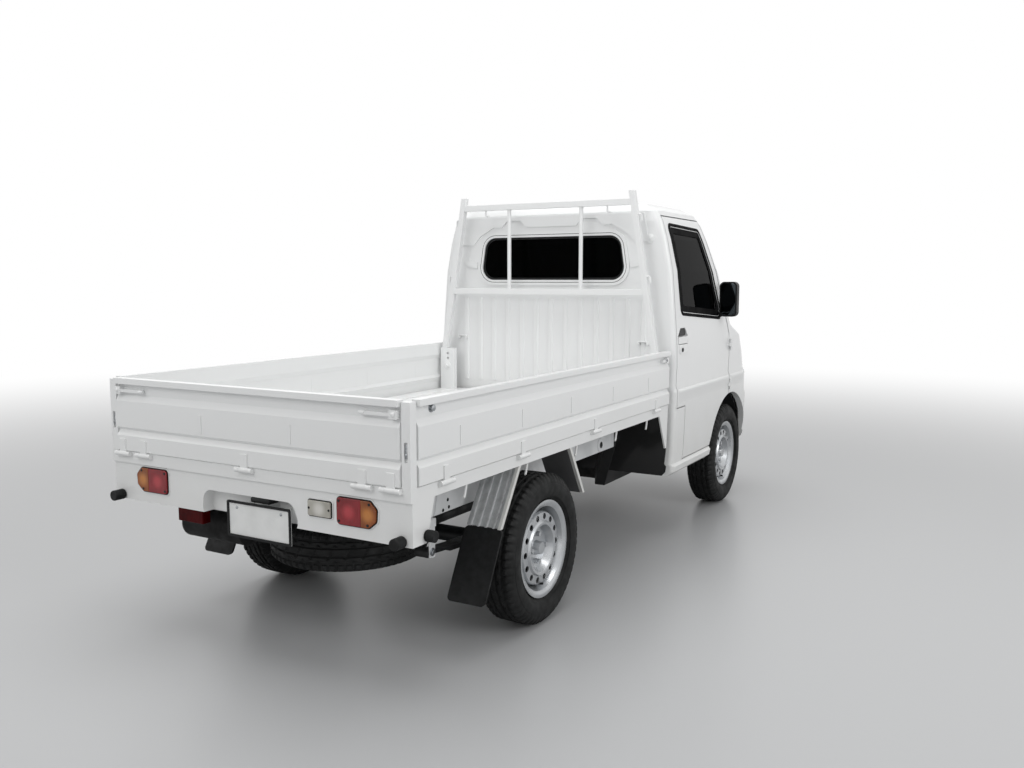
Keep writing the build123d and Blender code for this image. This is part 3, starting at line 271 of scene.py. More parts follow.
# Zinc plate: bright grey metal with a soft frosted lustre
zinc_plate = mottled("zinc_plate", "#B4B7BA", "#8E9194", 14, (0.28, 0.42), 0.8, 0.02, {"Metallic": 1.0})
dress(spring_steel, ["leaf_springs"], 1.5)
spring_low, spring_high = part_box("leaf_springs")
overpaint(spring_steel, mask_beyond(spring_steel, "X", spring_high.x - SHACKLE_GAUGE, True), RAIL_LIGHT)
overpaint(spring_steel, mask_beyond(spring_steel, "Z", HANGER_FOOT), RAIL_LIGHT)
# Painted shade: the rails and cross-members go near black forward of a station, where the cab and the bed
# shade them.
overpaint(grey_primer, mask_beyond(grey_primer, "Y", RAIL_PAINTED_SHADE_FROM), CHASSIS_DARK)
tyre_low, tyre_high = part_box("tyre_rear_right")
axle_y = (tyre_low.y + tyre_high.y) / 2
axle_z = (tyre_low.z + tyre_high.z) / 2
bolts = bmesh.new()
for side in (-1, 1):
    middle = side * (spring_high.x - SPRING_MIDDLE)
    for y in (axle_y - UBOLT_APART / 2, axle_y + UBOLT_APART / 2):
        turns = [math.radians(a) for a in range(180, -1, -20)]
        bend = [(middle + UBOLT_HALF * math.cos(t), y, axle_z + UBOLT_TOP + UBOLT_HALF * 0.25 * math.sin(t))
                for t in turns]
        feet = [(middle + end * UBOLT_HALF, y, axle_z - UBOLT_FOOT) for end in (-1, 1)]
        add_tube(bolts, feet[:1] + bend + feet[1:], UBOLT_RADIUS)
    for y in (spring_low.y + EYE_INSET, spring_high.y - EYE_INSET):
        add_bolt(bolts, (side * spring_high.x, y, axle_z + EYE_RISE), (side, 0, 0), EYE_BOLT)
piece("spring_bolts", bolts, zinc_plate)

# Rail fittings: a doubler plate over each rear spring hanger with three drain holes, and a pressed ring
# further forward, all spot-welded to the rails and dipped with them. Rubber plugs close the holes.
PLATE = [(0.37, 0.523), (0.612, 0.523), (0.582, 0.598), (0.39, 0.598)]
PLATE_GAUGE = 0.004
PLUGS = [(0.458, 0.567), (0.465, 0.538), (0.426, 0.533)]
PLUG = [(0.008, -0.001), (0.006, 0.0012)]
RING_SPOT = (1.84, 0.558)
RING = [(0.036, -0.001), (0.034, 0.004), (0.026, 0.006), (0.02, 0.006)]
RING_PLUG = [(0.018, 0.005), (0.016, 0.0068)]
SUNK = 0.001
# Rubber mouldings: plain black, half dull
black_rubber = mottled("black_rubber", "#141516", "#0B0C0C", 30, (0.5, 0.68), 0.9, 0.05,
                       {"Specular IOR Level": 0.25})
rail_low, rail_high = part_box("frame_rails")
doublers = bmesh.new()
plugs = bmesh.new()
for side in (-1, 1):
    x = side * rail_high.x
    add_prism(doublers, [(x - side * SUNK, rail_low.y + along, z) for along, z in PLATE],
              (side * (PLATE_GAUGE + SUNK), 0, 0), 0.0015)
    for along, z in PLUGS:
        add_turned(plugs, (x + side * PLATE_GAUGE, rail_low.y + along, z), (side, 0, 0), PLUG)
    ring = (x, rail_low.y + RING_SPOT[0], RING_SPOT[1])
    add_turned(doublers, ring, (side, 0, 0), RING, 28)
    add_turned(plugs, ring, (side, 0, 0), RING_PLUG, 20)
piece("rail_doublers", doublers, grey_primer)
piece("rail_plugs", plugs, black_rubber)

# Tyres: moulded rubber with four ribs of blocks, slotted shoulders and a plain sidewall with a raised ring.
# Each stands for the plain turned solid and keeps its reach and width.
LUGS = 60
STEPS_PER_LUG = 6
SLOT_SHARE = 0.3
GROOVE_DEPTH = 0.007
GROOVE_HALF = 0.0042
GROOVES = (-0.043, -0.015, 0.015, 0.043)
CENTRE_RIB = 0.019
SHOULDER = 0.047
SHOULDER_RADII = (0.268, 0.3)
SIDEWALL = [(0.0515, 0.178), (0.0525, 0.188), (0.058, 0.197), (0.066, 0.205), (0.075, 0.215),
            (0.0775, 0.2165), (0.079, 0.2145), (0.082, 0.226), (0.085, 0.24), (0.0848, 0.254),
            (0.0835, 0.264), (0.0815, 0.2665), (0.0808, 0.272), (0.0775, 0.283), (0.0725, 0.292),
            (0.0665, 0.2985)]
TREAD_EDGE = 0.060
CROWN_STEPS = 34
CROWN_DROP = 0.0015


def tread_height(x, share, lug):
    """How deep the tread is cut at a lateral place x and a share of one lug's pitch."""
    if any(abs(x - groove) < GROOVE_HALF for groove in GROOVES):
        return GROOVE_DEPTH
    reach = abs(x)
    if reach > SHOULDER:
        return GROOVE_DEPTH if share < SLOT_SHARE else 0.0
    lean = 0.5 + (x / 0.03) * (0.5 if lug % 2 else -0.5)
    if reach > CENTRE_RIB:
        return GROOVE_DEPTH * 0.8 if abs(share - lean % 1.0) < 0.13 else 0.0
    return GROOVE_DEPTH * 0.5 if lug % 2 and abs(share - 0.5 - x * 14) < 0.12 else 0.0


def tyre_shape(low, high, spin):
    """One tyre that fills the box of its CAD solid; spin is its axle's axis."""
    middle = (low + high) / 2
    outer = max(high - low) / 2
    shares = [2 * k / CROWN_STEPS - 1 for k in range(CROWN_STEPS + 1)]
    crown = [(TREAD_EDGE * share, outer - CROWN_DROP * share ** 2) for share in shares]
    line = [(-x, r) for x, r in SIDEWALL] + crown + SIDEWALL[::-1]
    x_axis, y_axis, z_axis = (Vector(axis) for axis in ((1, 0, 0), (0, 1, 0), (0, 0, 1)))
    along, side, up = (x_axis, y_axis, z_axis) if spin == "x" else (z_axis, x_axis, y_axis)
    rows = []
    for step, (c, s) in enumerate(circle(LUGS * STEPS_PER_LUG)):
        lug, share = divmod(step / STEPS_PER_LUG, 1.0)
        row = []
        for x, r in line:
            depth = tread_height(x, share, int(lug)) if abs(x) <= TREAD_EDGE + 1e-6 else 0.0
            if SHOULDER_RADII[0] < r < SHOULDER_RADII[1] and share < SLOT_SHARE:
                depth = GROOVE_DEPTH * (r - SHOULDER_RADII[0]) / (SHOULDER_RADII[1] - SHOULDER_RADII[0])
            row.append(middle + along * x + (side * c + up * s) * (r - depth))
        rows.append(row)
    tyre = bmesh.new()
    join_rows(tyre, rows, loop=True)
    return tyre


# Tyre rubber: carbon black, dull, with a bloom of dust that lightens it in patches
tyre_rubber = mottled("tyre_rubber", "#141515", "#0C0D0D", 45, (0.62, 0.8), 1.2, 0.06,
                      {"Specular IOR Level": 0.3})
WHEELS = ["front_left", "front_right", "rear_left", "rear_right"]
for name in WHEELS:
    shape = tyre_shape(*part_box(f"tyre_{name}"), "x")
    tyre = piece(f"treaded_tyre_{name}", shape, tyre_rubber, f"wheel_{name}", 28)
    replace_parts(tyre, f"tyre_{name}")
shape = tyre_shape(*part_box("spare_tyre"), "z")
spare = piece("treaded_spare_tyre", shape, tyre_rubber, sharp=28)
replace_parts(spare, "spare_tyre")

# Rims: pressed steel discs in welded barrels, sprayed with aluminium lacquer. Each has a rubber valve,
# pulled through a hole in its barrel.
VALVE = [(0.007, 0), (0.0055, 0.012), (0.0042, 0.016), (0.0042, 0.03), (0.0048, 0.03), (0.0048, 0.04),
         (0.003, 0.042)]
VALVE_ROOT = (0.02, -0.152)
VALVE_LEAN = 0.12
# Aluminium lacquer: bright grey flake under clear, fairly smooth
wheel_lacquer = mottled("wheel_lacquer", "#C3C5C7", "#AEB1B4", 120, (0.24, 0.34), 0.6, 0.01,
                        {"Metallic": 0.85, "Coat Weight": 0.2})
dress(wheel_lacquer, [f"rim_{name}" for name in WHEELS] + ["spare_rim"], 1.2)
for name in WHEELS:
    low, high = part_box(f"rim_{name}")
    side = 1 if high.x > 0 else -1
    valve = bmesh.new()
    root = (low + high) / 2 + Vector((side * VALVE_ROOT[0], 0, VALVE_ROOT[1]))
    add_turned(valve, root, (side, 0, VALVE_LEAN), VALVE, 12)
    piece(f"tyre_valve_{name}", valve, black_rubber, f"wheel_{name}")

# Engine, fuel tank and silencer: a cast block under the seats, a welded tank on the left rail with
# two hold-down straps, and a black transverse silencer.
STRAP_SHARES = (0.2, 0.78)
STRAP_BEND = 0.03
STRAP_HALF = 0.008
STRAP_RADIUS = 0.003
STRAP_BOLT_DROP = 0.05
# Cast iron: dark grey with the coarse skin of the sand mould
cast_iron = mottled("cast_iron", "#3A3A39", "#232322", 40, (0.6, 0.8), 3.0, 0.4, {"Metallic": 0.4})
# Tank paint: flat mid grey, a little patchy
tank_paint = mottled("tank_paint", "#9B9E9F", "#85888A", 140, (0.4, 0.55), 2.0, 0.04)
# Heat-proof black: soot dark and dull
heat_black = mottled("heat_black", "#131313", "#080808", 50, (0.55, 0.75), 1.5, 0.1,
                     {"Specular IOR Level": 0.25})
dress(cast_iron, ["engine_block"], 8)
dress(tank_paint, ["fuel_tank"], 10)
dress(heat_black, ["silencer"], 2)
low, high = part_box("fuel_tank")
straps = bmesh.new()
for share in STRAP_SHARES:
    y = low.y + (high.y - low.y) * share
    outline = [(high.x, high.z), (low.x + STRAP_BEND, high.z), (low.x, high.z - STRAP_BEND),
               (low.x, low.z + STRAP_BEND), (low.x + STRAP_BEND, low.z), (high.x, low.z)]
    for edge in (-STRAP_HALF, STRAP_HALF):
        add_tube(straps, [(x, y + edge, z) for x, z in outline], STRAP_RADIUS, 6)
    add_bolt(straps, (low.x, y, high.z - STRAP_BOLT_DROP), (-1, 0, 0), 0.012)
piece("tank_straps", straps, zinc_plate)

# Cab shell: pressed steel panels, welded up and sprayed with white baked enamel, which has a faint orange
# peel and a film of road dust low down. The floor and the foot of the back wall are near black below a level:
# painted shade, for the dark under the bed and the cab.
ENAMEL_CLEAN = "#E9EAEA"
ENAMEL_DUSTY = "#D6D6D3"
# the near black of the painted shade low on the cab, and the level it reaches up to
PAINTED_SHADE_BLACK = "#0E0E0F"
PAINTED_SHADE_TOP_M = 0.705
PEEL_MM = 9
PEEL_RELIEF_M = 0.00004
DUST_PATCH_MM = 220
DUST_TOP_M = 0.95
DUST_FULL_M = 0.3


def white_paint(name, shade_below_m=0.0):
    """Baked white enamel: clear gloss over colour that dulls towards the ground, and near black below a level
    as painted shade.
    """
    material = surface(name, {"Coat Weight": 0.35, "Coat Roughness": 0.08})
    place = node(material, "TexCoord", {})["Object"]
    height = node(material, "SeparateXYZ", {0: place})["Z"]
    low_down = node(material, "MapRange", {0: height, 1: DUST_TOP_M, 2: DUST_FULL_M})[0]
    patch = node(material, "TexNoise", {"Vector": place, "Scale": 1000 / DUST_PATCH_MM, "Detail": 7.0})
    film = node(material, "Math", {0: low_down, 1: patch[0]}, operation="MULTIPLY")[0]
    tint = node(material, "Mix", {0: film, 6: linear(ENAMEL_CLEAN), 7: linear(ENAMEL_DUSTY)},
                data_type="RGBA")
    gloss = node(material, "MapRange", {0: film, 3: 0.3, 4: 0.55})
    # painted shade: near black below the given level
    if shade_below_m:
        shaded_low = node(material, "Math", {0: height, 1: shade_below_m}, operation="LESS_THAN")[0]
        tint = node(material, "Mix", {0: shaded_low, 6: tint[2], 7: linear(PAINTED_SHADE_BLACK)}, data_type="RGBA")
        gloss = node(material, "MapRange", {0: shaded_low, 3: gloss[0], 4: 0.85})
    peel = node(material, "TexNoise", {"Vector": place, "Scale": 1000 / PEEL_MM, "Detail": 1.0})
    relief = node(material, "Bump", {"Height": peel[0], "Distance": PEEL_RELIEF_M})
    wire(material, {"Base Color": tint[2], "Roughness": gloss[0], "Normal": relief[0]})
    return material


white_enamel = white_paint("white_enamel")
shaded_enamel = white_paint("shaded_enamel", PAINTED_SHADE_TOP_M)
dress(white_enamel, ["cab_roof", "nose_panel", "front_bumper", "cab_side_left", "cab_side_right"], 3)
dress(shaded_enamel, ["cab_back", "cab_floor"])

# Wheel liners and grille: injection-moulded black plastic, clipped into the arches and the nose with
# plugs that stay out of sight.
# Moulded black plastic: fine leather-like grain from the mould, half dull
black_plastic = mottled("black_plastic", "#131415", "#0C0D0E", 70, (0.42, 0.52), 0.9, 0.06,
                        {"Specular IOR Level": 0.25})
dress(black_plastic, ["wheel_liners", "grille"], 1.5)

# Tabs on the cab's back wall: two small folded steel brackets low down and a bolted boss by each end of the
# rear window, spot-welded on before painting.
TAB_WIDTH = 0.052
TAB_REACH = 0.022
TAB_SPOTS = [(-0.58, 1.06), (0.56, 1.058)]
FOOT_HALF = 0.007
BOSS_SPOT = (0.586, 1.6)
BOSS = [(0.024, 0), (0.024, 0.005), (0.019, 0.007), (0.008, 0.0075), (0.008, 0.004)]
REARWARD = Vector((0, -1, 0))
cab_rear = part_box("cab_side_right")[0].y
tabs = bmesh.new()
for x, z in TAB_SPOTS:
    ends = (x - TAB_WIDTH / 2, x + TAB_WIDTH / 2)
    add_block(tabs, (ends[0], cab_rear - TAB_REACH, z - 0.005), (ends[1], cab_rear + SUNK, z + 0.001))
    for foot in ends:
        add_block(tabs, (foot - FOOT_HALF, cab_rear - TAB_REACH + 0.002, z - 0.02),
                  (foot + FOOT_HALF, cab_rear + SUNK, z))
for side in (-1, 1):
    add_turned(tabs, (side * BOSS_SPOT[0], cab_rear + SUNK, BOSS_SPOT[1]), REARWARD, BOSS, 20)
    add_bolt(tabs, (side * BOSS_SPOT[0], cab_rear - 0.004, BOSS_SPOT[1]), REARWARD, 0.011)
piece("cab_back_tabs", tabs, white_enamel)

# Windows: toughened glass tinted nearly black. The rear pane and the windscreen are bedded in rubber, and
# each door pane stands in a black sash with a film of matt black round it on the door's skin.
REAR_PANE = [(-0.455, 1.383), (0.455, 1.383), (0.418, 1.622), (-0.418, 1.622)]
REAR_PANE_SINK = 0.008
BEAD_RADIUS = 0.0016
SCREEN = [(-0.64, 1.128), (0.64, 1.128), (0.548, 1.688), (-0.548, 1.688)]
DOOR_PANE = [(0.128, 1.214), (0.799, 1.168), (0.557, 1.652), (0.092, 1.664)]
# each band: (inset, corner radius) of its outer and its inner edge, and how far it stands proud
REAR_SEAL = ((0.0, 0.07), (0.012, 0.06), 0.007)
SCREEN_FRIT = ((0.003, 0.058), (0.036, 0.045), 0.002)
DOOR_SASH = ((0.002, 0.028), (0.034, 0.016), 0.004)
DOOR_SURROUND = ((-0.02, 0.04), (-0.003, 0.033), 0.0015)
FAR = 3.0
HANDS = (("left", -1), ("right", 1))


def corner_ways(corners, i):
    """A corner of a closed outline, the ways to the corners before and after it, and half its angle."""
    here = Vector(corners[i])
    into = (Vector(corners[i - 1]) - here).normalized()
    away = (Vector(corners[(i + 1) % len(corners)]) - here).normalized()
    return here, into, away, into.angle(away) / 2


def rounded(corners, radius, steps=6, along=8):
    """Points round a closed outline: each corner turned with a radius, each run divided alike."""
    arcs = []
    for i in range(len(corners)):
        here, into, away, half = corner_ways(corners, i)
        centre = here + (into + away).normalized() * radius / math.sin(half)
        first = here + into * radius / math.tan(half) - centre
        last = here + away * radius / math.tan(half) - centre
        arcs.append([centre + first.lerp(last, k / steps).normalized() * radius for k in range(steps + 1)])
    points = []
    for arc, ahead in zip(arcs, arcs[1:] + arcs[:1]):
        points += arc + [arc[-1].lerp(ahead[0], k / along) for k in range(1, along)]
    return points


def shrunk(corners, amount):
    """An outline's corners moved inwards by an even amount."""
    moved = []
    for i in range(len(corners)):
        here, into, away, half = corner_ways(corners, i)
        moved.append(here + (into + away).normalized() * amount / math.sin(half))
    return moved


def add_band(bm, corners, band, place, steps=6, along=8):
    """A flat ring along an outline, laid where place says; band is (inset, radius) twice and its lift."""
    outer, inner = (rounded(shrunk(corners, inset), radius, steps, along) for inset, radius in band[:2])
    rows = []
    for line, up in ((outer, 0), (outer, band[2]), (inner, band[2]), (inner, 0)):
        rows.append([point + out * up for point, out in (place(u, v) for u, v in line)])
    join_rows(bm, rows, loop=True)


def upright(y):
    """Places points on an upright plane that faces the rear."""
    return lambda u, v: (Vector((u, y, v)), REARWARD)


def skin_of(name, start, towards):
    """Where a straight line from a start, towards a direction along x or y, meets a CAD node's skin.

    The answer is a function of the line's two other coordinates, and gives the point and the normal there.
    """
    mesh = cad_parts[name].data
    tree = BVHTree.FromPolygons([v.co for v in mesh.vertices], [p.vertices for p in mesh.polygons])
    towards = Vector(towards)

    def place(u, v):
        origin = Vector((start, u, v)) if towards.x else Vector((u, start, v))
        point, out, _, _ = tree.ray_cast(origin, towards)
        if point is None:
            point, out, _, _ = tree.find_nearest(origin + towards * abs(start))
        return point, out if out.dot(towards) < 0 else -out
    return place


# Tinted glass: nearly black in the frame, mirror smooth with the faintest wiping marks
tinted_glass = mottled("tinted_glass", "#222527", "#1C1F20", 300, (0.01, 0.04), 60, 0.0,
                       {"Transmission Weight": 1.0, "IOR": 1.07})
# Sash film: dead matt black that keeps no highlight
sash_film = mottled("sash_film", "#0A0A0B", "#060607", 60, (0.65, 0.8), 0.9, 0.02,
                    {"Specular IOR Level": 0.06})
dress(tinted_glass, ["cab_glass", "door_glass_left", "door_glass_right"])
seals = bmesh.new()
add_band(seals, REAR_PANE, REAR_SEAL, upright(cab_rear + REAR_PANE_SINK))
bead = [(u, cab_rear - 0.0075, v) for u, v in rounded(shrunk(REAR_PANE, -0.013), 0.083)]
add_tube(seals, bead, BEAD_RADIUS, 6, True)
screen_face = skin_of("cab_glass", FAR, (0, -1, 0))
add_band(seals, SCREEN, SCREEN_FRIT, screen_face, 6, 16)
piece("window_seals", seals, black_rubber)
for name, side in HANDS:
    sash = bmesh.new()
    pane = [(cab_rear + y, z) for y, z in DOOR_PANE]
    inner_face = skin_of(f"door_glass_{name}", side * 0.3, (side, 0, 0))
    faces = [
        # the glass from outside and from inside, and the door's skin
        (DOOR_SASH, skin_of(f"door_glass_{name}", side * FAR, (-side, 0, 0))),
        (DOOR_SASH, lambda u, v: (inner_face(u, v)[0], Vector((-side, 0, 0)))),
        (DOOR_SURROUND, skin_of(f"door_{name}", side * FAR, (-side, 0, 0))),
    ]
    for band, face in faces:
        add_band(sash, pane, band, face, 6, 12)
    piece(f"door_sash_{name}", sash, sash_film, f"door_{name}")

# Windscreen wipers and the cowl strip they stand on: black-painted spring arms with rubber blades, and a
# moulded strip, clipped along the foot of the screen.
COWL_LOW = 1.088
COWL_HIGH = 1.121
COWL_HALF = 0.56
COWL_LIFT = 0.004
COWL_STEPS = 40
WIPER_BOSS = [(0.014, 0), (0.014, 0.014), (0.010, 0.02), (0.004, 0.021)]
BLADE_STEPS = 8
BLADE_LIFT = 0.012
WIPERS = [
    # pivot x, blade's inner and outer x, blade's height above the cowl
    (-0.06, -0.52, -0.04, 0.075),
    (0.42, 0.02, 0.46, 0.065),
]
cowl = bmesh.new()
nose_face = skin_of("nose_panel", FAR, (0, -1, 0))
rows = []
for z, lift in ((COWL_LOW, 0.0), (COWL_LOW, COWL_LIFT), (COWL_HIGH, COWL_LIFT), (COWL_HIGH, 0.0)):
    spots = [nose_face(COWL_HALF * (2 * k / COWL_STEPS - 1), z) for k in range(COWL_STEPS + 1)]
    rows.append([point + out * lift for point, out in spots])
join_rows(cowl, rows, ring=False, loop=True)
piece("cowl_strip", cowl, black_plastic)
wipers = bmesh.new()
for pivot_x, inner_x, outer_x, rise in WIPERS:
    base, out = nose_face(pivot_x, (COWL_LOW + COWL_HIGH) / 2)
    add_turned(wipers, base, out, WIPER_BOSS, 16)
    blade = []
    for k in range(BLADE_STEPS + 1):
        x = inner_x + (outer_x - inner_x) * k / BLADE_STEPS
        point, away = screen_face(x, COWL_HIGH + rise)
        blade.append(point + away * BLADE_LIFT)
    add_tube(wipers, blade, 0.005, 8)
    add_tube(wipers, [p - away * 0.007 for p in blade], 0.0028, 6)
    grip = blade[BLADE_STEPS // 2]
    arm = [base + out * 0.014, base.lerp(grip, 0.5) + out * 0.03, grip + away * BLADE_LIFT]
    add_tube(wipers, arm, 0.0045, 8)
piece("wipers", wipers, black_plastic)

# Head lamps: clear moulded covers over chromed bowls, a large one with a small one outside it, and a bulb
# in each, clipped in from behind.
BOWLS = [
    # x, z, size
    (0.545, 0.862, 1.0),
    (0.65, 0.874, 0.48),
]
BOWL = [(0.002, -0.058), (0.03, -0.055), (0.062, -0.036), (0.084, 0.0), (0.08, 0.0), (0.06, -0.032),
        (0.029, -0.05), (0.002, -0.053)]
BOWL_TURN = 0.15
# Clear polycarbonate: bright and glossy with a faint cast
clear_lens = mottled("clear_lens", "#EEF1F2", "#E6EAEC", 90, (0.03, 0.07), 8, 0.0,
                     {"Transmission Weight": 0.9, "IOR": 1.2})
# Vacuum chrome: a mirror with a soft bloom
bowl_chrome = mottled("bowl_chrome", "#E6E7E8", "#D5D7D9", 40, (0.05, 0.14), 5, 0.0, {"Metallic": 1.0})
dress(clear_lens, ["head_lamps"], 1.5)
lamp_back = skin_of("head_lamps", -0.5, (0, 1, 0))
bowls = bmesh.new()
for side in (-1, 1):
    for x, z, size in BOWLS:
        rim, _ = lamp_back(side * x, z)
        seat = rim - Vector((0, 0.012 + 0.02 * size, 0))
        axis = (side * BOWL_TURN, 1, 0)
        add_turned(bowls, seat, axis, [(r * size, h * size) for r, h in BOWL], 32)
        bulb = [(0.008 * size, 0), (0.012 * size, 0.012), (0.011 * size, 0.03), (0.005 * size, 0.037)]
        add_turned(bowls, seat - Vector((0, 0.045 * size, 0)), axis, bulb, 16)
piece("lamp_bowls", bowls, bowl_chrome)

# Doors: pressed steel like the cab, with a crease that runs on across the fender. Each has a black tray in
# its finger recess, a lock plate with a key barrel, a grey trim pad with an arm rest, and a mirror.
HANDLE_RUN = (0.045, 0.2)
HANDLE_LOW = 1.086
HANDLE_HIGH = 1.126
HANDLE_ARCH = 0.042
LOCK_PLATE = [(0.066, 0.990), (0.19, 0.990), (0.2, 1.034), (0.066, 1.034)]
KEY_SPOT = (0.102, 1.012)
KEY = [(0.0115, 0), (0.0115, 0.003), (0.009, 0.0042), (0.009, 0.0028)]
KEY_BLADE = Vector((0.0045, 0.0016, 0.007))
TRIM_PAD = [(0.10, 0.47), (0.60, 0.47), (0.68, 0.72), (0.86, 0.80), (0.86, 1.06), (0.10, 1.12)]
# share of the way out from the pad's middle, lift
TRIM_RINGS = [(1.0, 0.0), (1.0, 0.006), (0.985, 0.009), (0.9, 0.009), (0.86, 0.006), (0.82, 0.009),
              (0.4, 0.01)]
ARM_REST = [(0.16, 0.835), (0.46, 0.885)]
ARM_REST_DEPTH = 0.055
MIRROR_EDGE = 0.009
MIRROR_HEAD = (0.104, 0.204)
CREASE_TOP = 0.806
CREASE_RISE = 0.0055
CREASE_FADE = 0.01
CREASE_STEPS = 60
# drop below the crease, share of its rise
CREASE = [(0.0, 0.0), (0.004, 0.45), (0.009, 0.95), (0.013, 1.0), (0.025, 0.76), (0.04, 0.46), (0.055, 0.24),
          (0.07, 0.1), (0.088, 0.0)]
DOOR_RUN = (0.425, 1.322)
FENDER_RUN = (1.358, 1.638)
dress(white_enamel, ["door_left", "door_right"], 2.5)
dress(black_plastic, ["mirror_left", "mirror_right"], 5)
# Door trim: grey vinyl over board, with the grain of pressed hide
trim_vinyl = mottled("trim_vinyl", "#77797B", "#6A6C6E", 120, (0.5, 0.62), 1.6, 0.12)
# Mirror glass: silvered and coloured dark, a painted reflection that stands for the dark things the mirror
# shows
mirror_glass = mottled("mirror_glass", "#3B4043", "#34393C", 120, (0.02, 0.05), 30, 0.0, {"Metallic": 1.0})


def add_crease(bm, face, side, run):
    """A pressed crease along a flat side panel: a short ledge that dies away downwards and at its ends."""
    stations = [run[0] + (run[1] - run[0]) * k / CREASE_STEPS for k in range(CREASE_STEPS + 1)]
    fades = [min(1.0, (y - run[0]) / CREASE_FADE, (run[1] - y) / CREASE_FADE) for y in stations]
    # the pressed face from the top down, then its back from the foot up
    lines = [(*row, 0.0004) for row in CREASE] + [(CREASE[-1][0], 0, 0.0015), (0.0, 0, 0.0015)]
    rows = []
    for drop, share, sunk in lines:
        z = CREASE_TOP - drop
        skin = face(sum(run) / 2, z)[0].x - side * sunk
        rows.append([(skin + side * CREASE_RISE * share * fade, y, z) for y, fade in zip(stations, fades)])
    join_rows(bm, rows, ring=False, loop=True)


fender_creases = bmesh.new()
for name, side in HANDS:
    body = f"door_{name}"
    sideways = Vector((side, 0, 0))
    outside = skin_of(body, side * FAR, -sideways)
    crease = bmesh.new()
    add_crease(crease, outside, side, DOOR_RUN)
    piece(f"door_crease_{name}", crease, white_enamel, body, 60)
    add_crease(fender_creases, skin_of(f"cab_side_{name}", side * FAR, -sideways), side, FENDER_RUN)
    start, end = (cab_rear + along for along in HANDLE_RUN)
    arch = [(start + 0.003, HANDLE_LOW), (end - 0.003, HANDLE_LOW), (end - HANDLE_ARCH, HANDLE_HIGH),
            (start + HANDLE_ARCH, HANDLE_HIGH)]
    back, _ = outside((start + end) / 2, HANDLE_HIGH - 0.008)
    tray = bmesh.new()
    add_prism(tray, [(back.x - side * SUNK, u, v) for u, v in rounded(arch, 0.012, 6, 2)], sideways * 0.013)
    piece(f"handle_tray_{name}", tray, black_plastic, body)
    lock = bmesh.new()
    plate = rounded([(cab_rear + u, v) for u, v in LOCK_PLATE], 0.014, 6, 2)
    skin, _ = outside(cab_rear + KEY_SPOT[0], KEY_SPOT[1])
    add_prism(lock, [(skin.x - side * 0.002, u, v) for u, v in plate], sideways * 0.006, 0.0015)
    piece(f"lock_plate_{name}", lock, white_enamel, body)
    key = bmesh.new()
    spot = Vector((skin.x + side * 0.0035, cab_rear + KEY_SPOT[0], KEY_SPOT[1]))
    add_turned(key, spot, sideways, KEY, 20)
    add_block(key, spot - KEY_BLADE, spot + KEY_BLADE, 0.0006)
    piece(f"key_barrel_{name}", key, black_plastic, body)
    low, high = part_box(f"mirror_{name}")
    outer_x = high.x if side > 0 else low.x
    left, right = sorted((outer_x - side * MIRROR_HEAD[0], outer_x))
    foot = high.z - MIRROR_HEAD[1]
    head = [(left, foot), (right, foot), (right, high.z), (left, high.z)]
    pane = rounded(shrunk(head, MIRROR_EDGE), 0.02, 6, 2)
    glass = bmesh.new()
    add_prism(glass, [(u, low.y + 0.0004, v) for u, v in pane], REARWARD * 0.0016, 0.0006)
    piece(f"mirror_glass_{name}", glass, mirror_glass, body)
    inside = skin_of(body, side * 0.2, sideways)
    outline = rounded([(cab_rear + u, v) for u, v in TRIM_PAD], 0.03, 6, 8)
    hub = sum(outline, Vector((0, 0))) / len(outline)
    rings = []
    for share, lift in TRIM_RINGS:
        rings.append([inside(*hub.lerp(p, share))[0] - sideways * lift for p in outline])
    pad = bmesh.new()
    join_rows(pad, rings)
    rest, _ = inside(cab_rear + 0.3, 0.86)
    corners = [(x, cab_rear + y, z) for x, (y, z) in zip((rest.x, rest.x - side * ARM_REST_DEPTH), ARM_REST)]
    add_block(pad, *corners, 0.014, 3)
    piece(f"door_trim_{name}", pad, trim_vinyl, body)
piece("fender_creases", fender_creases, white_enamel, sharp=60)

# Cab inside: two stuffed vinyl seats on pressed risers, a moulded dashboard with its dials and vents, and the
# steering wheel with a horn pad. Each seat is a cushion, a squab and a head rest, sewn in channels.
PUFF_CAP = 0.014
PRESSURE = 4
PUFF_FRAMES = 20
VOXEL = 0.009
HULL_EDGE = 0.024
CHANNEL_PULL = 0.009
CHANNEL_WIDTH = 0.012
PADS = [
    # name, inner and outer x, (y, z) of the foot's rear and front and the head's front and rear, channels
    ("cushion", 0.095, 0.555, (0.16, 0.632), (0.60, 0.632), (0.60, 0.742), (0.16, 0.722), 3),
    ("squab", 0.095, 0.555, (0.082, 0.735), (0.186, 0.755), (0.138, 1.255), (0.068, 1.255), 3),
    ("head_rest", 0.215, 0.435, (0.072, 1.285), (0.132, 1.285), (0.126, 1.41), (0.074, 1.41), 0),
]
RISER = [(0.365, 0.1, 0.376), (0.54, 0.585, 0.622)]
HEAD_REST_RODS = (0.27, 0.38)
ROD_LEVELS = (1.24, 1.3)
COLUMN_X = -0.33
COLUMN_AXIS = (0, -0.805, 0.593)
HORN = [(0.046, 0.006), (0.046, 0.016), (0.04, 0.022), (0.012, 0.025)]
VENTS = (-0.49, -0.1, 0.1, 0.49)
VENT_Z = 1.03
SLATS = 5
SLAT_HALF = Vector((0.048, 0.0035, 0.0015))
KNOBS = (-0.07, 0.07)
DASH_KNOB = [(0.014, 0), (0.013, 0.016), (0.01, 0.018)]
DIALS = [(COLUMN_X - 0.066, 0.042), (COLUMN_X + 0.066, 0.034)]
DIAL_SQUASH = 0.72
DIAL_TICKS = 9
# Seat vinyl: charcoal, with the grain of pressed hide and a dull sheen
seat_vinyl = mottled("seat_vinyl", "#3A3C3F", "#2C2E30", 80, (0.5, 0.62), 1.4, 0.1)


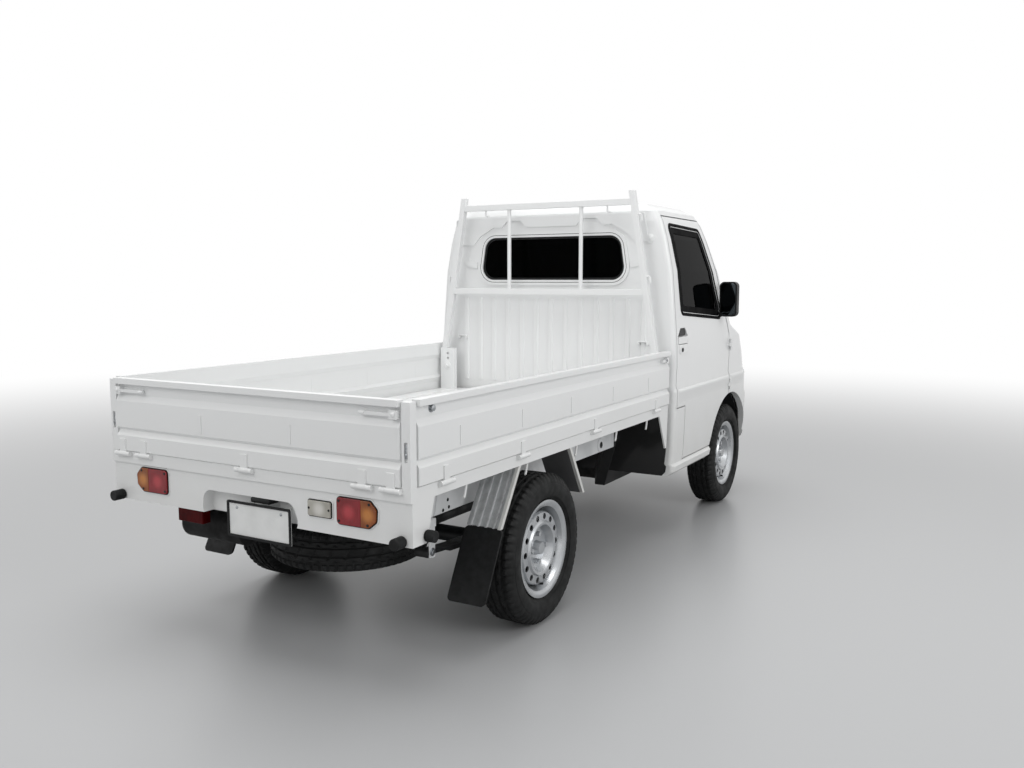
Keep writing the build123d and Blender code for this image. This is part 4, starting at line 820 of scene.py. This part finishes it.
def stuffed(inner, outer, face, channels):
    """Points and faces of a pad: a hull, blown up as cloth under pressure and drawn in at its channels."""
    hull = bmesh.new()
    low = [hull.verts.new((inner, cab_rear + y, z)) for y, z in face]
    high = [hull.verts.new((outer, cab_rear + y, z)) for y, z in face]
    hull.faces.new(low)
    hull.faces.new(high[::-1])
    for i in range(4):
        hull.faces.new((low[i], high[i], high[(i + 1) % 4], low[(i + 1) % 4]))
    bmesh.ops.recalc_face_normals(hull, faces=hull.faces)
    roll(hull, hull.edges, HULL_EDGE, 3)
    mesh = bpy.data.meshes.new("pad_hull")
    hull.to_mesh(mesh)
    hull.free()
    pad = shown("pad_hull", mesh)
    remesh = pad.modifiers.new("remesh", "REMESH")
    remesh.mode = "VOXEL"
    remesh.voxel_size = VOXEL
    pad.data = bpy.data.meshes.new_from_object(pad.evaluated_get(bpy.context.evaluated_depsgraph_get()))
    pad.modifiers.clear()
    start = [v.co.copy() for v in pad.data.vertices]
    faces = [tuple(p.vertices) for p in pad.data.polygons]
    points = start
    cloth = pad.modifiers.new("cloth", "CLOTH")
    cloth.settings.use_pressure = True
    cloth.settings.uniform_pressure_force = PRESSURE
    cloth.settings.effector_weights.gravity = 0
    cloth.point_cache.frame_end = PUFF_FRAMES
    for step in range(1, PUFF_FRAMES + 1):
        bpy.context.scene.frame_set(step)
    blown = bpy.data.meshes.new_from_object(pad.evaluated_get(bpy.context.evaluated_depsgraph_get()))
    shifts = [b.co - s for b, s in zip(blown.vertices, start)]
    points = [s + d * min(1.0, PUFF_CAP / max(d.length, 1e-6)) for s, d in zip(start, shifts)]
    bpy.context.scene.frame_set(1)
    bpy.data.objects.remove(pad)
    middle = sum(points, Vector((0, 0, 0))) / len(points)
    drawn = []
    for point in points:
        for line in range(channels):
            x = inner + (outer - inner) * (line + 1) / (channels + 1)
            pull = CHANNEL_PULL * math.exp(-((point.x - x) / CHANNEL_WIDTH) ** 2)
            point = point + (Vector((point.x, middle.y, middle.z)) - point).normalized() * pull
        drawn.append(point)
    return drawn, faces


for name, inner, outer, *face, channels in PADS:
    points, faces = stuffed(inner, outer, face, channels)
    for hand, side in HANDS:
        mirrored = [(side * p.x, p.y, p.z) for p in points]
        turned = faces if side > 0 else [f[::-1] for f in faces]
        pad = piece(f"seat_{name}_{hand}", (mirrored, turned), seat_vinyl, sharp=60)
        pad.modifiers.new("round", "SUBSURF").levels = 1
        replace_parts(pad, "seats")
risers = bmesh.new()
for side in (-1, 1):
    add_block(risers, *[(side * x, cab_rear + y, z) for x, y, z in RISER], 0.02, 3)
    for x in HEAD_REST_RODS:
        add_tube(risers, [(side * x, cab_rear + RISER[0][1], z) for z in ROD_LEVELS], 0.006)
piece("seat_risers", risers, chassis_black)
# Dashboard plastic: grey, with the coarse grain of a slush moulding
dash_plastic = mottled("dash_plastic", "#6A6D70", "#5C5F62", 110, (0.55, 0.66), 1.8, 0.12)
dress(dash_plastic, ["dashboard"], 8)
dress(black_plastic, ["steering_wheel"], 7)
dash_face = skin_of("dashboard", 0.6, (0, 1, 0))
dash_low, dash_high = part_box("dashboard")
fascia = bmesh.new()
add_block(fascia, (COLUMN_X - 0.15, dash_low.y + 0.245, dash_high.z - 0.02),
          (COLUMN_X + 0.15, dash_low.y + 0.36, dash_high.z + 0.052), 0.022, 3)
panels = [
    # x, z, half width, half height, reach in front of the dash and into it, edge
    *((x, VENT_Z, 0.055, 0.032, 0.008, 0.004, 0.004) for x in VENTS),
    (0.33, 0.93, 0.17, 0.075, 0.004, 0.03, 0.006),
    (0.0, 0.93, 0.095, 0.032, 0.006, 0.03, 0.004),
]
for x, z, half, tall, front, back, edge in panels:
    spot, _ = dash_face(x, z)
    add_block(fascia, spot - Vector((half, front, tall)), spot + Vector((half, back, tall)), edge)
for x in VENTS:
    spot, _ = dash_face(x, VENT_Z)
    for slat in range(SLATS):
        level = spot + Vector((0, -0.0095, -0.022 + slat * 0.011))
        add_block(fascia, level - SLAT_HALF, level + SLAT_HALF, 0.0008)
radio, _ = dash_face(*panels[-1][:2])
for x in KNOBS:
    add_turned(fascia, radio + Vector((x, -0.006, 0)), REARWARD, DASH_KNOB, 20)
piece("dash_fascia", fascia, black_plastic)
# Dial card: printed white ring on black
dial_card = mottled("dial_card", "#D9DADA", "#CBCCCC", 20, (0.4, 0.5), 2, 0.0)
dials = bmesh.new()
for x, radius in DIALS:
    hub = Vector((x, dash_low.y + 0.2445, dash_high.z + 0.015))
    rim = [hub + Vector((c, 0, s * DIAL_SQUASH)) * radius for c, s in circle(40)]
    add_tube(dials, rim, 0.0013, 6, True)
    for k in range(DIAL_TICKS):
        t = math.radians(210 - 30 * k)
        out = Vector((math.cos(t), 0, math.sin(t) * DIAL_SQUASH)) * radius
        add_tube(dials, [hub + out * 0.74, hub + out * 0.92], 0.001, 6)
piece("dash_dials", dials, dial_card)
low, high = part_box("steering_wheel")
horn = bmesh.new()
add_turned(horn, (low + high) / 2, COLUMN_AXIS, HORN, 32)
piece("horn_pad", horn, trim_vinyl, "steering_wheel")

# Bed: folded sheet-steel deck, sills and posts, welded and sprayed white with the cab. Rope hooks of bent rod
# are welded under the side sills, and a latch tongue shows in the slot of each corner post.
HOOK_RADIUS = 0.0048
HOOK_STATIONS = [0.342, 0.778, 1.216, 1.64, 2.022]
HOOK_INSET = 0.012
HOOK_BEND = [(0.0, 0.0), (0.004, 0.012), (0.013, 0.04), (0.0155, 0.0445), (0.019, 0.047)]
SILL_Z = 0.686
TONGUE = [(0.0225, 0.003, 0.826), (0.0125, 0.010, 0.872)]
TONGUE_PIN = (0.0175, 0.006, 0.84)
PIN = [(0.005, 0), (0.005, 0.005), (0.003, 0.006)]
POST_BOLT = (0.636, 0.882)
POST_WASHER = [(0.024, -0.001), (0.024, 0.003), (0.018, 0.005)]
dress(white_enamel, ["bed_floor"])
dress(white_enamel, ["bed_posts"], 1.5)
post_low, post_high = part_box("bed_posts")
tail_y = post_low.y
bed_half = post_high.x
post_face = skin_of("bed_posts", -1.0, (0, 1, 0))
hooks = bmesh.new()
tongues = bmesh.new()
bosses = bmesh.new()
for side in (-1, 1):
    x = side * (bed_half - HOOK_INSET)
    for station in HOOK_STATIONS:
        y = tail_y + station
        add_tube(hooks, [(x, y - back, SILL_Z - drop) for back, drop in HOOK_BEND], HOOK_RADIUS, 8)
    low, high, pin = ((side * (bed_half - u), tail_y + v, z) for u, v, z in [*TONGUE, TONGUE_PIN])
    add_block(tongues, low, high)
    add_turned(tongues, pin, REARWARD, PIN, 12)
    spot, out = post_face(side * POST_BOLT[0], POST_BOLT[1])
    add_turned(bosses, spot, out, POST_WASHER, 24)
    add_bolt(bosses, spot + out * POST_WASHER[-1][1], out, 0.017)
piece("rope_hooks", hooks, white_enamel)
piece("latch_tongues", tongues, zinc_plate)
piece("post_bolts", bosses, white_enamel)

# Gates: each a pressed steel panel with two long steps, hung on barrel hinges. The tailgate has a slim lever
# at each end, the side gates a keeper knob at the rear and a small latch at the front.
LEVER_PIVOT = (0.655, 0.967)
LEVER_TIP = (0.527, 0.965)
PIVOT = [(0.008, -0.001), (0.008, 0.003), (0.005, 0.005)]
TIP = [(0.0075, -0.012), (0.0085, 0), (0.006, 0.01)]
KNOB_SPOT = (0.126, 0.976)
KNOB = [(0.015, -0.001), (0.015, 0.002), (0.009, 0.003), (0.009, 0.008), (0.0105, 0.009), (0.0105, 0.012),
        (0.006, 0.0135)]
LATCH_SPOT = (2.225, 0.97)
LATCH = [(0.006, -0.001), (0.006, 0.002), (0.004, 0.0032)]
PRESSED_STEP_DEG = 15
dress(white_enamel, ["tailgate", "gate_left", "gate_right"], 1.5, PRESSED_STEP_DEG)
levers = bmesh.new()
tail_face = skin_of("tailgate", -FAR, (0, 1, 0))
for name, side in HANDS:
    spot, _ = tail_face(side * LEVER_PIVOT[0], LEVER_PIVOT[1])
    add_turned(levers, spot, REARWARD, PIVOT, 16)
    tip, _ = tail_face(side * LEVER_TIP[0], LEVER_TIP[1])
    add_turned(levers, tip + Vector((0, 0.004, 0)), (-side, 0, 0), TIP, 12)
    gate_face = skin_of(f"gate_{name}", side * FAR, (-side, 0, 0))
    knobs = bmesh.new()
    for (along, z), profile, sides in ((KNOB_SPOT, KNOB, 20), (LATCH_SPOT, LATCH, 16)):
        add_turned(knobs, gate_face(tail_y + along, z)[0], (side, 0, 0), profile, sides)
    piece(f"gate_keeper_{name}", knobs, zinc_plate, f"gate_{name}")
piece("tailgate_pivots", levers, white_enamel, "tailgate")

# Tail: a folded panel with a pocket for the plate. Lamps are moulded lenses, screwed at their corners on a
# gasket, the plate is a bare white sheet in a black frame, and rubber stops take the gates when they drop.
LENS = [(0.411, 0.584), (0.543, 0.584), (0.573, 0.608), (0.576, 0.648), (0.55, 0.674), (0.411, 0.674)]
LENS_CORNER = 0.013
LENS_SCREWS = [(0.421, 0.595), (0.421, 0.663), (0.541, 0.594), (0.548, 0.664)]
LENS_SCREW = [(0.0048, -0.001), (0.0048, 0.001), (0.003, 0.002)]
REVERSE = [(0.285, 0.597), (0.384, 0.597), (0.384, 0.65), (0.285, 0.65)]
REVERSE_CORNER = 0.006
REVERSE_SCREWS = [(0.291, 0.6235), (0.378, 0.6235)]
REVERSE_SCREW = [(0.0042, -0.001), (0.0042, 0.001), (0.003, 0.002)]
GASKET = (0.003, 0.0005, 0.006)
LIP = (0.0075, 0.0034, 0.0035)
PLATE_FRAME = ((-0.002, 0.008), (0.007, 0.004), 0.004)
PLATE_SCREW = [(0.006, -0.001), (0.006, 0.001), (0.004, 0.002)]
PLATE_SCREW_SPOT = (0.105, 0.022)
PLATE_LIGHT = [(-0.045, 0.006, 0.002), (0.045, 0.056, 0.021)]
PRISM_MM = 7
PRISM_RELIEF_M = 0.0004
# inner and outer reach of the painted highlight round each bulb's place, which stands for the reflector
# shining behind the lens
PAINTED_GLOW_REACH = (0.006, 0.036)
LAMP_FINISHES = [
    # node, finish, light, dark, bulb's x, z and the colour of the painted highlight there, clearness, IOR,
    # edge in mm
    ("tail_lamps", "red_lens", "#97222A", "#801A21", (0.461, 0.629, "#BE4148"), 0.15, 1.49, 2),
    ("turn_lamps", "amber_lens", "#9A5322", "#864418", (0.541, 0.629, "#CC843F"), 0.15, 1.49, 2),
    ("reverse_lamp", "reverse_lens", "#CFCCC2", "#BCB9AF", (0.334, 0.623, "#F3F1EB"), 0.3, 1.49, 2),
    ("fog_lamp", "fog_lens", "#4B0608", "#350405", (0.43, 0.5, "#5A0A0C"), 0.0, 1.15, 3),
]


def moulded_lens(name, light, dark, bulb, values):
    """A signal lens: dyed plastic with upright prisms, and a painted highlight of the reflector behind it
    that makes it paler round the bulb's place (x, z, colour).
    """
    material = mottled(name, light, dark, 60, (0.08, 0.16), 5, 0.0, values)
    # painted highlight: a paler colour round the bulb's place stands for the reflector shining behind the
    # lens
    place = node(material, "TexCoord", {})["Object"]
    parts = node(material, "SeparateXYZ", {0: place})
    folded = node(material, "Math", {0: parts["X"]}, operation="ABSOLUTE")
    flat = node(material, "CombineXYZ", {0: folded[0], 2: parts["Z"]})
    away = node(material, "VectorMath", {0: flat[0], 1: (bulb[0], 0, bulb[1])}, operation="DISTANCE")
    near = node(material, "MapRange", {0: away["Value"], 1: PAINTED_GLOW_REACH[1], 2: PAINTED_GLOW_REACH[0]},
                interpolation_type="SMOOTHSTEP")
    overpaint(material, near[0], bulb[2])
    wave = node(material, "Math", {0: parts["X"], 1: 2 * math.pi * 1000 / PRISM_MM}, operation="MULTIPLY")
    ridge = node(material, "Math", {0: wave[0]}, operation="SINE")
    relief = node(material, "Bump", {"Height": ridge[0], "Distance": PRISM_RELIEF_M, "Strength": 0.6})
    wire(material, {"Normal": relief[0]})
    return material


# Signal lenses: dyed acrylic, glossy, darker where it is thick, with a painted highlight round each bulb's
# place
for name, finish, light, dark, bulb, clearness, ior, edge_mm in LAMP_FINISHES:
    lens = moulded_lens(finish, light, dark, bulb, {"Transmission Weight": clearness, "IOR": ior})
    dress(lens, [name], edge_mm)
# Plate enamel: plain flat white, a little off the body's
plate_enamel = mottled("plate_enamel", "#E4E5E4", "#DBDCDB", 60, (0.4, 0.5), 2.0, 0.02)
dress(white_enamel, ["rear_panel"], 2)
dress(plate_enamel, ["rear_plate"], 0.8)
dress(black_rubber, ["gate_stops"], 4)
lens_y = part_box("tail_lamps")[0].y
panel_face = upright(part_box("rear_panel")[0].y)
gaskets = bmesh.new()
lips = bmesh.new()
screws = bmesh.new()
lenses = [([(-u, v) for u, v in LENS[::-1]], LENS_CORNER), (LENS, LENS_CORNER), (REVERSE, REVERSE_CORNER)]
for outline, corner in lenses:
    for bm, (outer, inner, lift) in ((gaskets, GASKET), (lips, LIP)):
        add_band(bm, outline, ((-outer, corner + outer), (-inner, corner + inner), lift), panel_face, 5, 3)
for side in (-1, 1):
    for u, v in LENS_SCREWS:
        add_turned(screws, (side * u, lens_y, v), REARWARD, LENS_SCREW, 14)
for u, v in REVERSE_SCREWS:
    add_turned(screws, (u, lens_y, v), REARWARD, REVERSE_SCREW, 14)
piece("lamp_gaskets", gaskets, black_rubber)
piece("lamp_lips", lips, white_enamel)
piece("lamp_screws", screws, chassis_black)
low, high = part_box("rear_plate")
plate = [(low.x, low.z), (high.x, low.z), (high.x, high.z), (low.x, high.z)]
head = Vector(((low.x + high.x) / 2, low.y, high.z))
surround = bmesh.new()
add_band(surround, plate, PLATE_FRAME, upright(low.y), 5, 3)
add_block(surround, *[head + Vector(corner) for corner in PLATE_LIGHT], 0.005)
piece("plate_surround", surround, black_plastic)
plate_screws = bmesh.new()
for side in (-1, 1):
    spot = head + Vector((side * PLATE_SCREW_SPOT[0], 0, -PLATE_SCREW_SPOT[1]))
    add_turned(plate_screws, spot, REARWARD, PLATE_SCREW, 16)
piece("plate_screws", plate_screws, zinc_plate)

# Guard frame: square tube posts and rails with two thin uprights, welded and sprayed white, with rope hooks
# of bent rod under the top rail and on the posts.
GUARD_HEAD_X = 0.515
RAIL_HOOKS = (-0.375, 0.375)
RAIL_HOOK = [(0.0, 0.002), (0.0, -0.026), (0.004, -0.031), (0.016, -0.032)]
POST_HOOKS = (1.722, 1.402)
POST_HOOK = [(-0.003, 0.0), (0.012, 0.0), (0.017, -0.004), (0.019, -0.034)]
dress(white_enamel, ["guard_posts", "guard_rails", "guard_uprights"], 1.5)
rail_low, rail_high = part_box("guard_rails")
guard_y = (rail_low.y + rail_high.y) / 2
half_tube = (rail_high.y - rail_low.y) / 2
posts_low, posts_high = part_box("guard_posts")
foot_x = posts_high.x - half_tube
guard_hooks = bmesh.new()
for x in RAIL_HOOKS:
    z = rail_high.z - 2 * half_tube
    add_tube(guard_hooks, [(x + u, guard_y, z + v) for u, v in RAIL_HOOK], HOOK_RADIUS, 8)
for side in (-1, 1):
    for z in POST_HOOKS:
        share = (z - posts_low.z) / (posts_high.z - posts_low.z)
        x = foot_x + (GUARD_HEAD_X - foot_x) * share + half_tube
        add_tube(guard_hooks, [(side * (x + u), guard_y, z + v) for u, v in POST_HOOK], HOOK_RADIUS, 8)
piece("guard_hooks", guard_hooks, white_enamel)

# Mudguards and flaps: ribbed galvanised sheet behind the wheel, coloured dark grey in front of it, both with
# a white outer flange, and rubber flaps bolted to the rear ones.
FRONT_GUARD = "#626263"
FLANGE_GAUGE = 0.0185
FLAP_TOP = ((0.562, 0.467), (0.572, 0.467))
FLAP_FOOT = ((0.430, 0.214), (0.440, 0.214))
FLAP_WIDTH = 0.163
FLAP_CORNER = 0.018
# Galvanised sheet: dull zinc spangle
mud_zinc = mottled("mud_zinc", "#C9CBCC", "#B4B6B7", 30, (0.4, 0.55), 1.5, 0.04, {"Metallic": 0.25})
# the guard's colour turns dark grey in front of the axle
overpaint(mud_zinc, mask_beyond(mud_zinc, "Y", axle_y), FRONT_GUARD)
overpaint(mud_zinc, mask_beyond(mud_zinc, "X", bed_half - FLANGE_GAUGE, True), ENAMEL_DUSTY)
dress(mud_zinc, ["mud_guards"], 1)
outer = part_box("mud_flaps")[1].x
inner = outer - FLAP_WIDTH
tall = (Vector(FLAP_TOP[0]) - Vector(FLAP_FOOT[0])).length
sheet = rounded([(inner, 0), (outer, 0), (outer, tall), (inner, tall)], FLAP_CORNER, 6, 4)
for name, side in HANDS:
    faces = []
    for foot, top in zip(FLAP_FOOT, FLAP_TOP):
        spots = [(u, Vector(foot).lerp(Vector(top), v / tall)) for u, v in sheet]
        faces.append([(side * u, tail_y + spot.x, spot.y) for u, spot in spots])
    flap = bmesh.new()
    join_rows(flap, faces)
    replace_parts(piece(f"mud_flap_{name}", flap, black_rubber), "mud_flaps")

# Studio: a pale floor that fades to white far from the truck, soft lamps overhead and at the side, and the
# camera where the photograph was taken.
FLOOR_SIZE = 60
FLOOR_GREY = "#B4B5B6"
FADE_FROM = 2.6
FADE_TO = 11.0
WORLD_LIGHT = 0.47
CAMERA_PLACE = (2.4016, -4.2349, 1.388)
CAMERA_TURN_DEG = (83.523, 0.0, 29.855)
LENS_MM = 32.51
SENSOR_MM = 36
LAMPS = [
    # name, place, aim, size, power
    ("overhead", (0.0, -1.0, 6.5), (0.0, 0.0, 0.5), 6.0, 200),
    ("right_side", (6.5, -1.5, 3.6), (0.0, -0.2, 0.8), 4.0, 135),
    ("rear_fill", (-1.0, -6.5, 4.6), (0.0, 0.0, 1.0), 4.0, 90),
]


def looked_at(owner):
    """A socket that is 1 for the rays that show a thing, straight, mirrored or through glass."""
    rays = node(owner, "LightPath", {})
    mask = rays["Is Camera Ray"]
    for kind in ("Is Glossy Ray", "Is Transmission Ray"):
        mask = node(owner, "Math", {0: mask, 1: rays[kind]}, operation="MAXIMUM")[0]
    return mask


# Floor paint: pale grey with a soft sheen that gives the truck a faint reflection
floor_paint = surface("studio_floor", {"Base Color": linear(FLOOR_GREY), "Roughness": 0.34})
place = node(floor_paint, "TexCoord", {})["Object"]
away = node(floor_paint, "VectorMath", {0: place}, operation="LENGTH")["Value"]
fade = node(floor_paint, "MapRange", {0: away, 1: FADE_FROM, 2: FADE_TO}, interpolation_type="SMOOTHSTEP")
white_share = node(floor_paint, "Math", {0: fade[0], 1: looked_at(floor_paint)}, operation="MULTIPLY")[0]
glow = node(floor_paint, "Emission", {"Strength": 1.0})[0]
parts = floor_paint.node_tree.nodes
both = node(floor_paint, "MixShader", {0: white_share, 1: parts["Principled BSDF"].outputs[0], 2: glow})
floor_paint.node_tree.links.new(both[0], parts["Material Output"].inputs["Surface"])
ground = bmesh.new()
bmesh.ops.create_grid(ground, x_segments=1, y_segments=1, size=FLOOR_SIZE / 2)
floor_mesh = bpy.data.meshes.new("studio_floor")
ground.to_mesh(floor_mesh)
ground.free()
floor_mesh.materials.append(floor_paint)
shown("studio_floor", floor_mesh)
for name, place, aim, size, power in LAMPS:
    lamp = bpy.data.lights.new(name, "AREA")
    lamp.shape = "DISK"
    lamp.size = size
    lamp.energy = power
    holder = shown(name, lamp)
    holder.location = place
    holder.rotation_euler = (Vector(aim) - Vector(place)).to_track_quat("-Z", "Y").to_euler()
world = bpy.data.worlds.new("studio_world")
bpy.context.scene.world = world
world.use_nodes = True
level = node(world, "MapRange", {0: looked_at(world), 3: WORLD_LIGHT, 4: 1.0})
sky = world.node_tree.nodes["Background"]
sky.inputs["Color"].default_value = (1, 1, 1, 1)
world.node_tree.links.new(level[0], sky.inputs["Strength"])
lens = bpy.data.cameras.new("photo_camera")
lens.sensor_fit = "HORIZONTAL"
lens.sensor_width = SENSOR_MM
lens.lens = LENS_MM
camera = shown("photo_camera", lens)
camera.location = CAMERA_PLACE
camera.rotation_euler = [math.radians(a) for a in CAMERA_TURN_DEG]
bpy.context.scene.camera = camera
bpy.context.scene.view_settings.view_transform = "Standard"
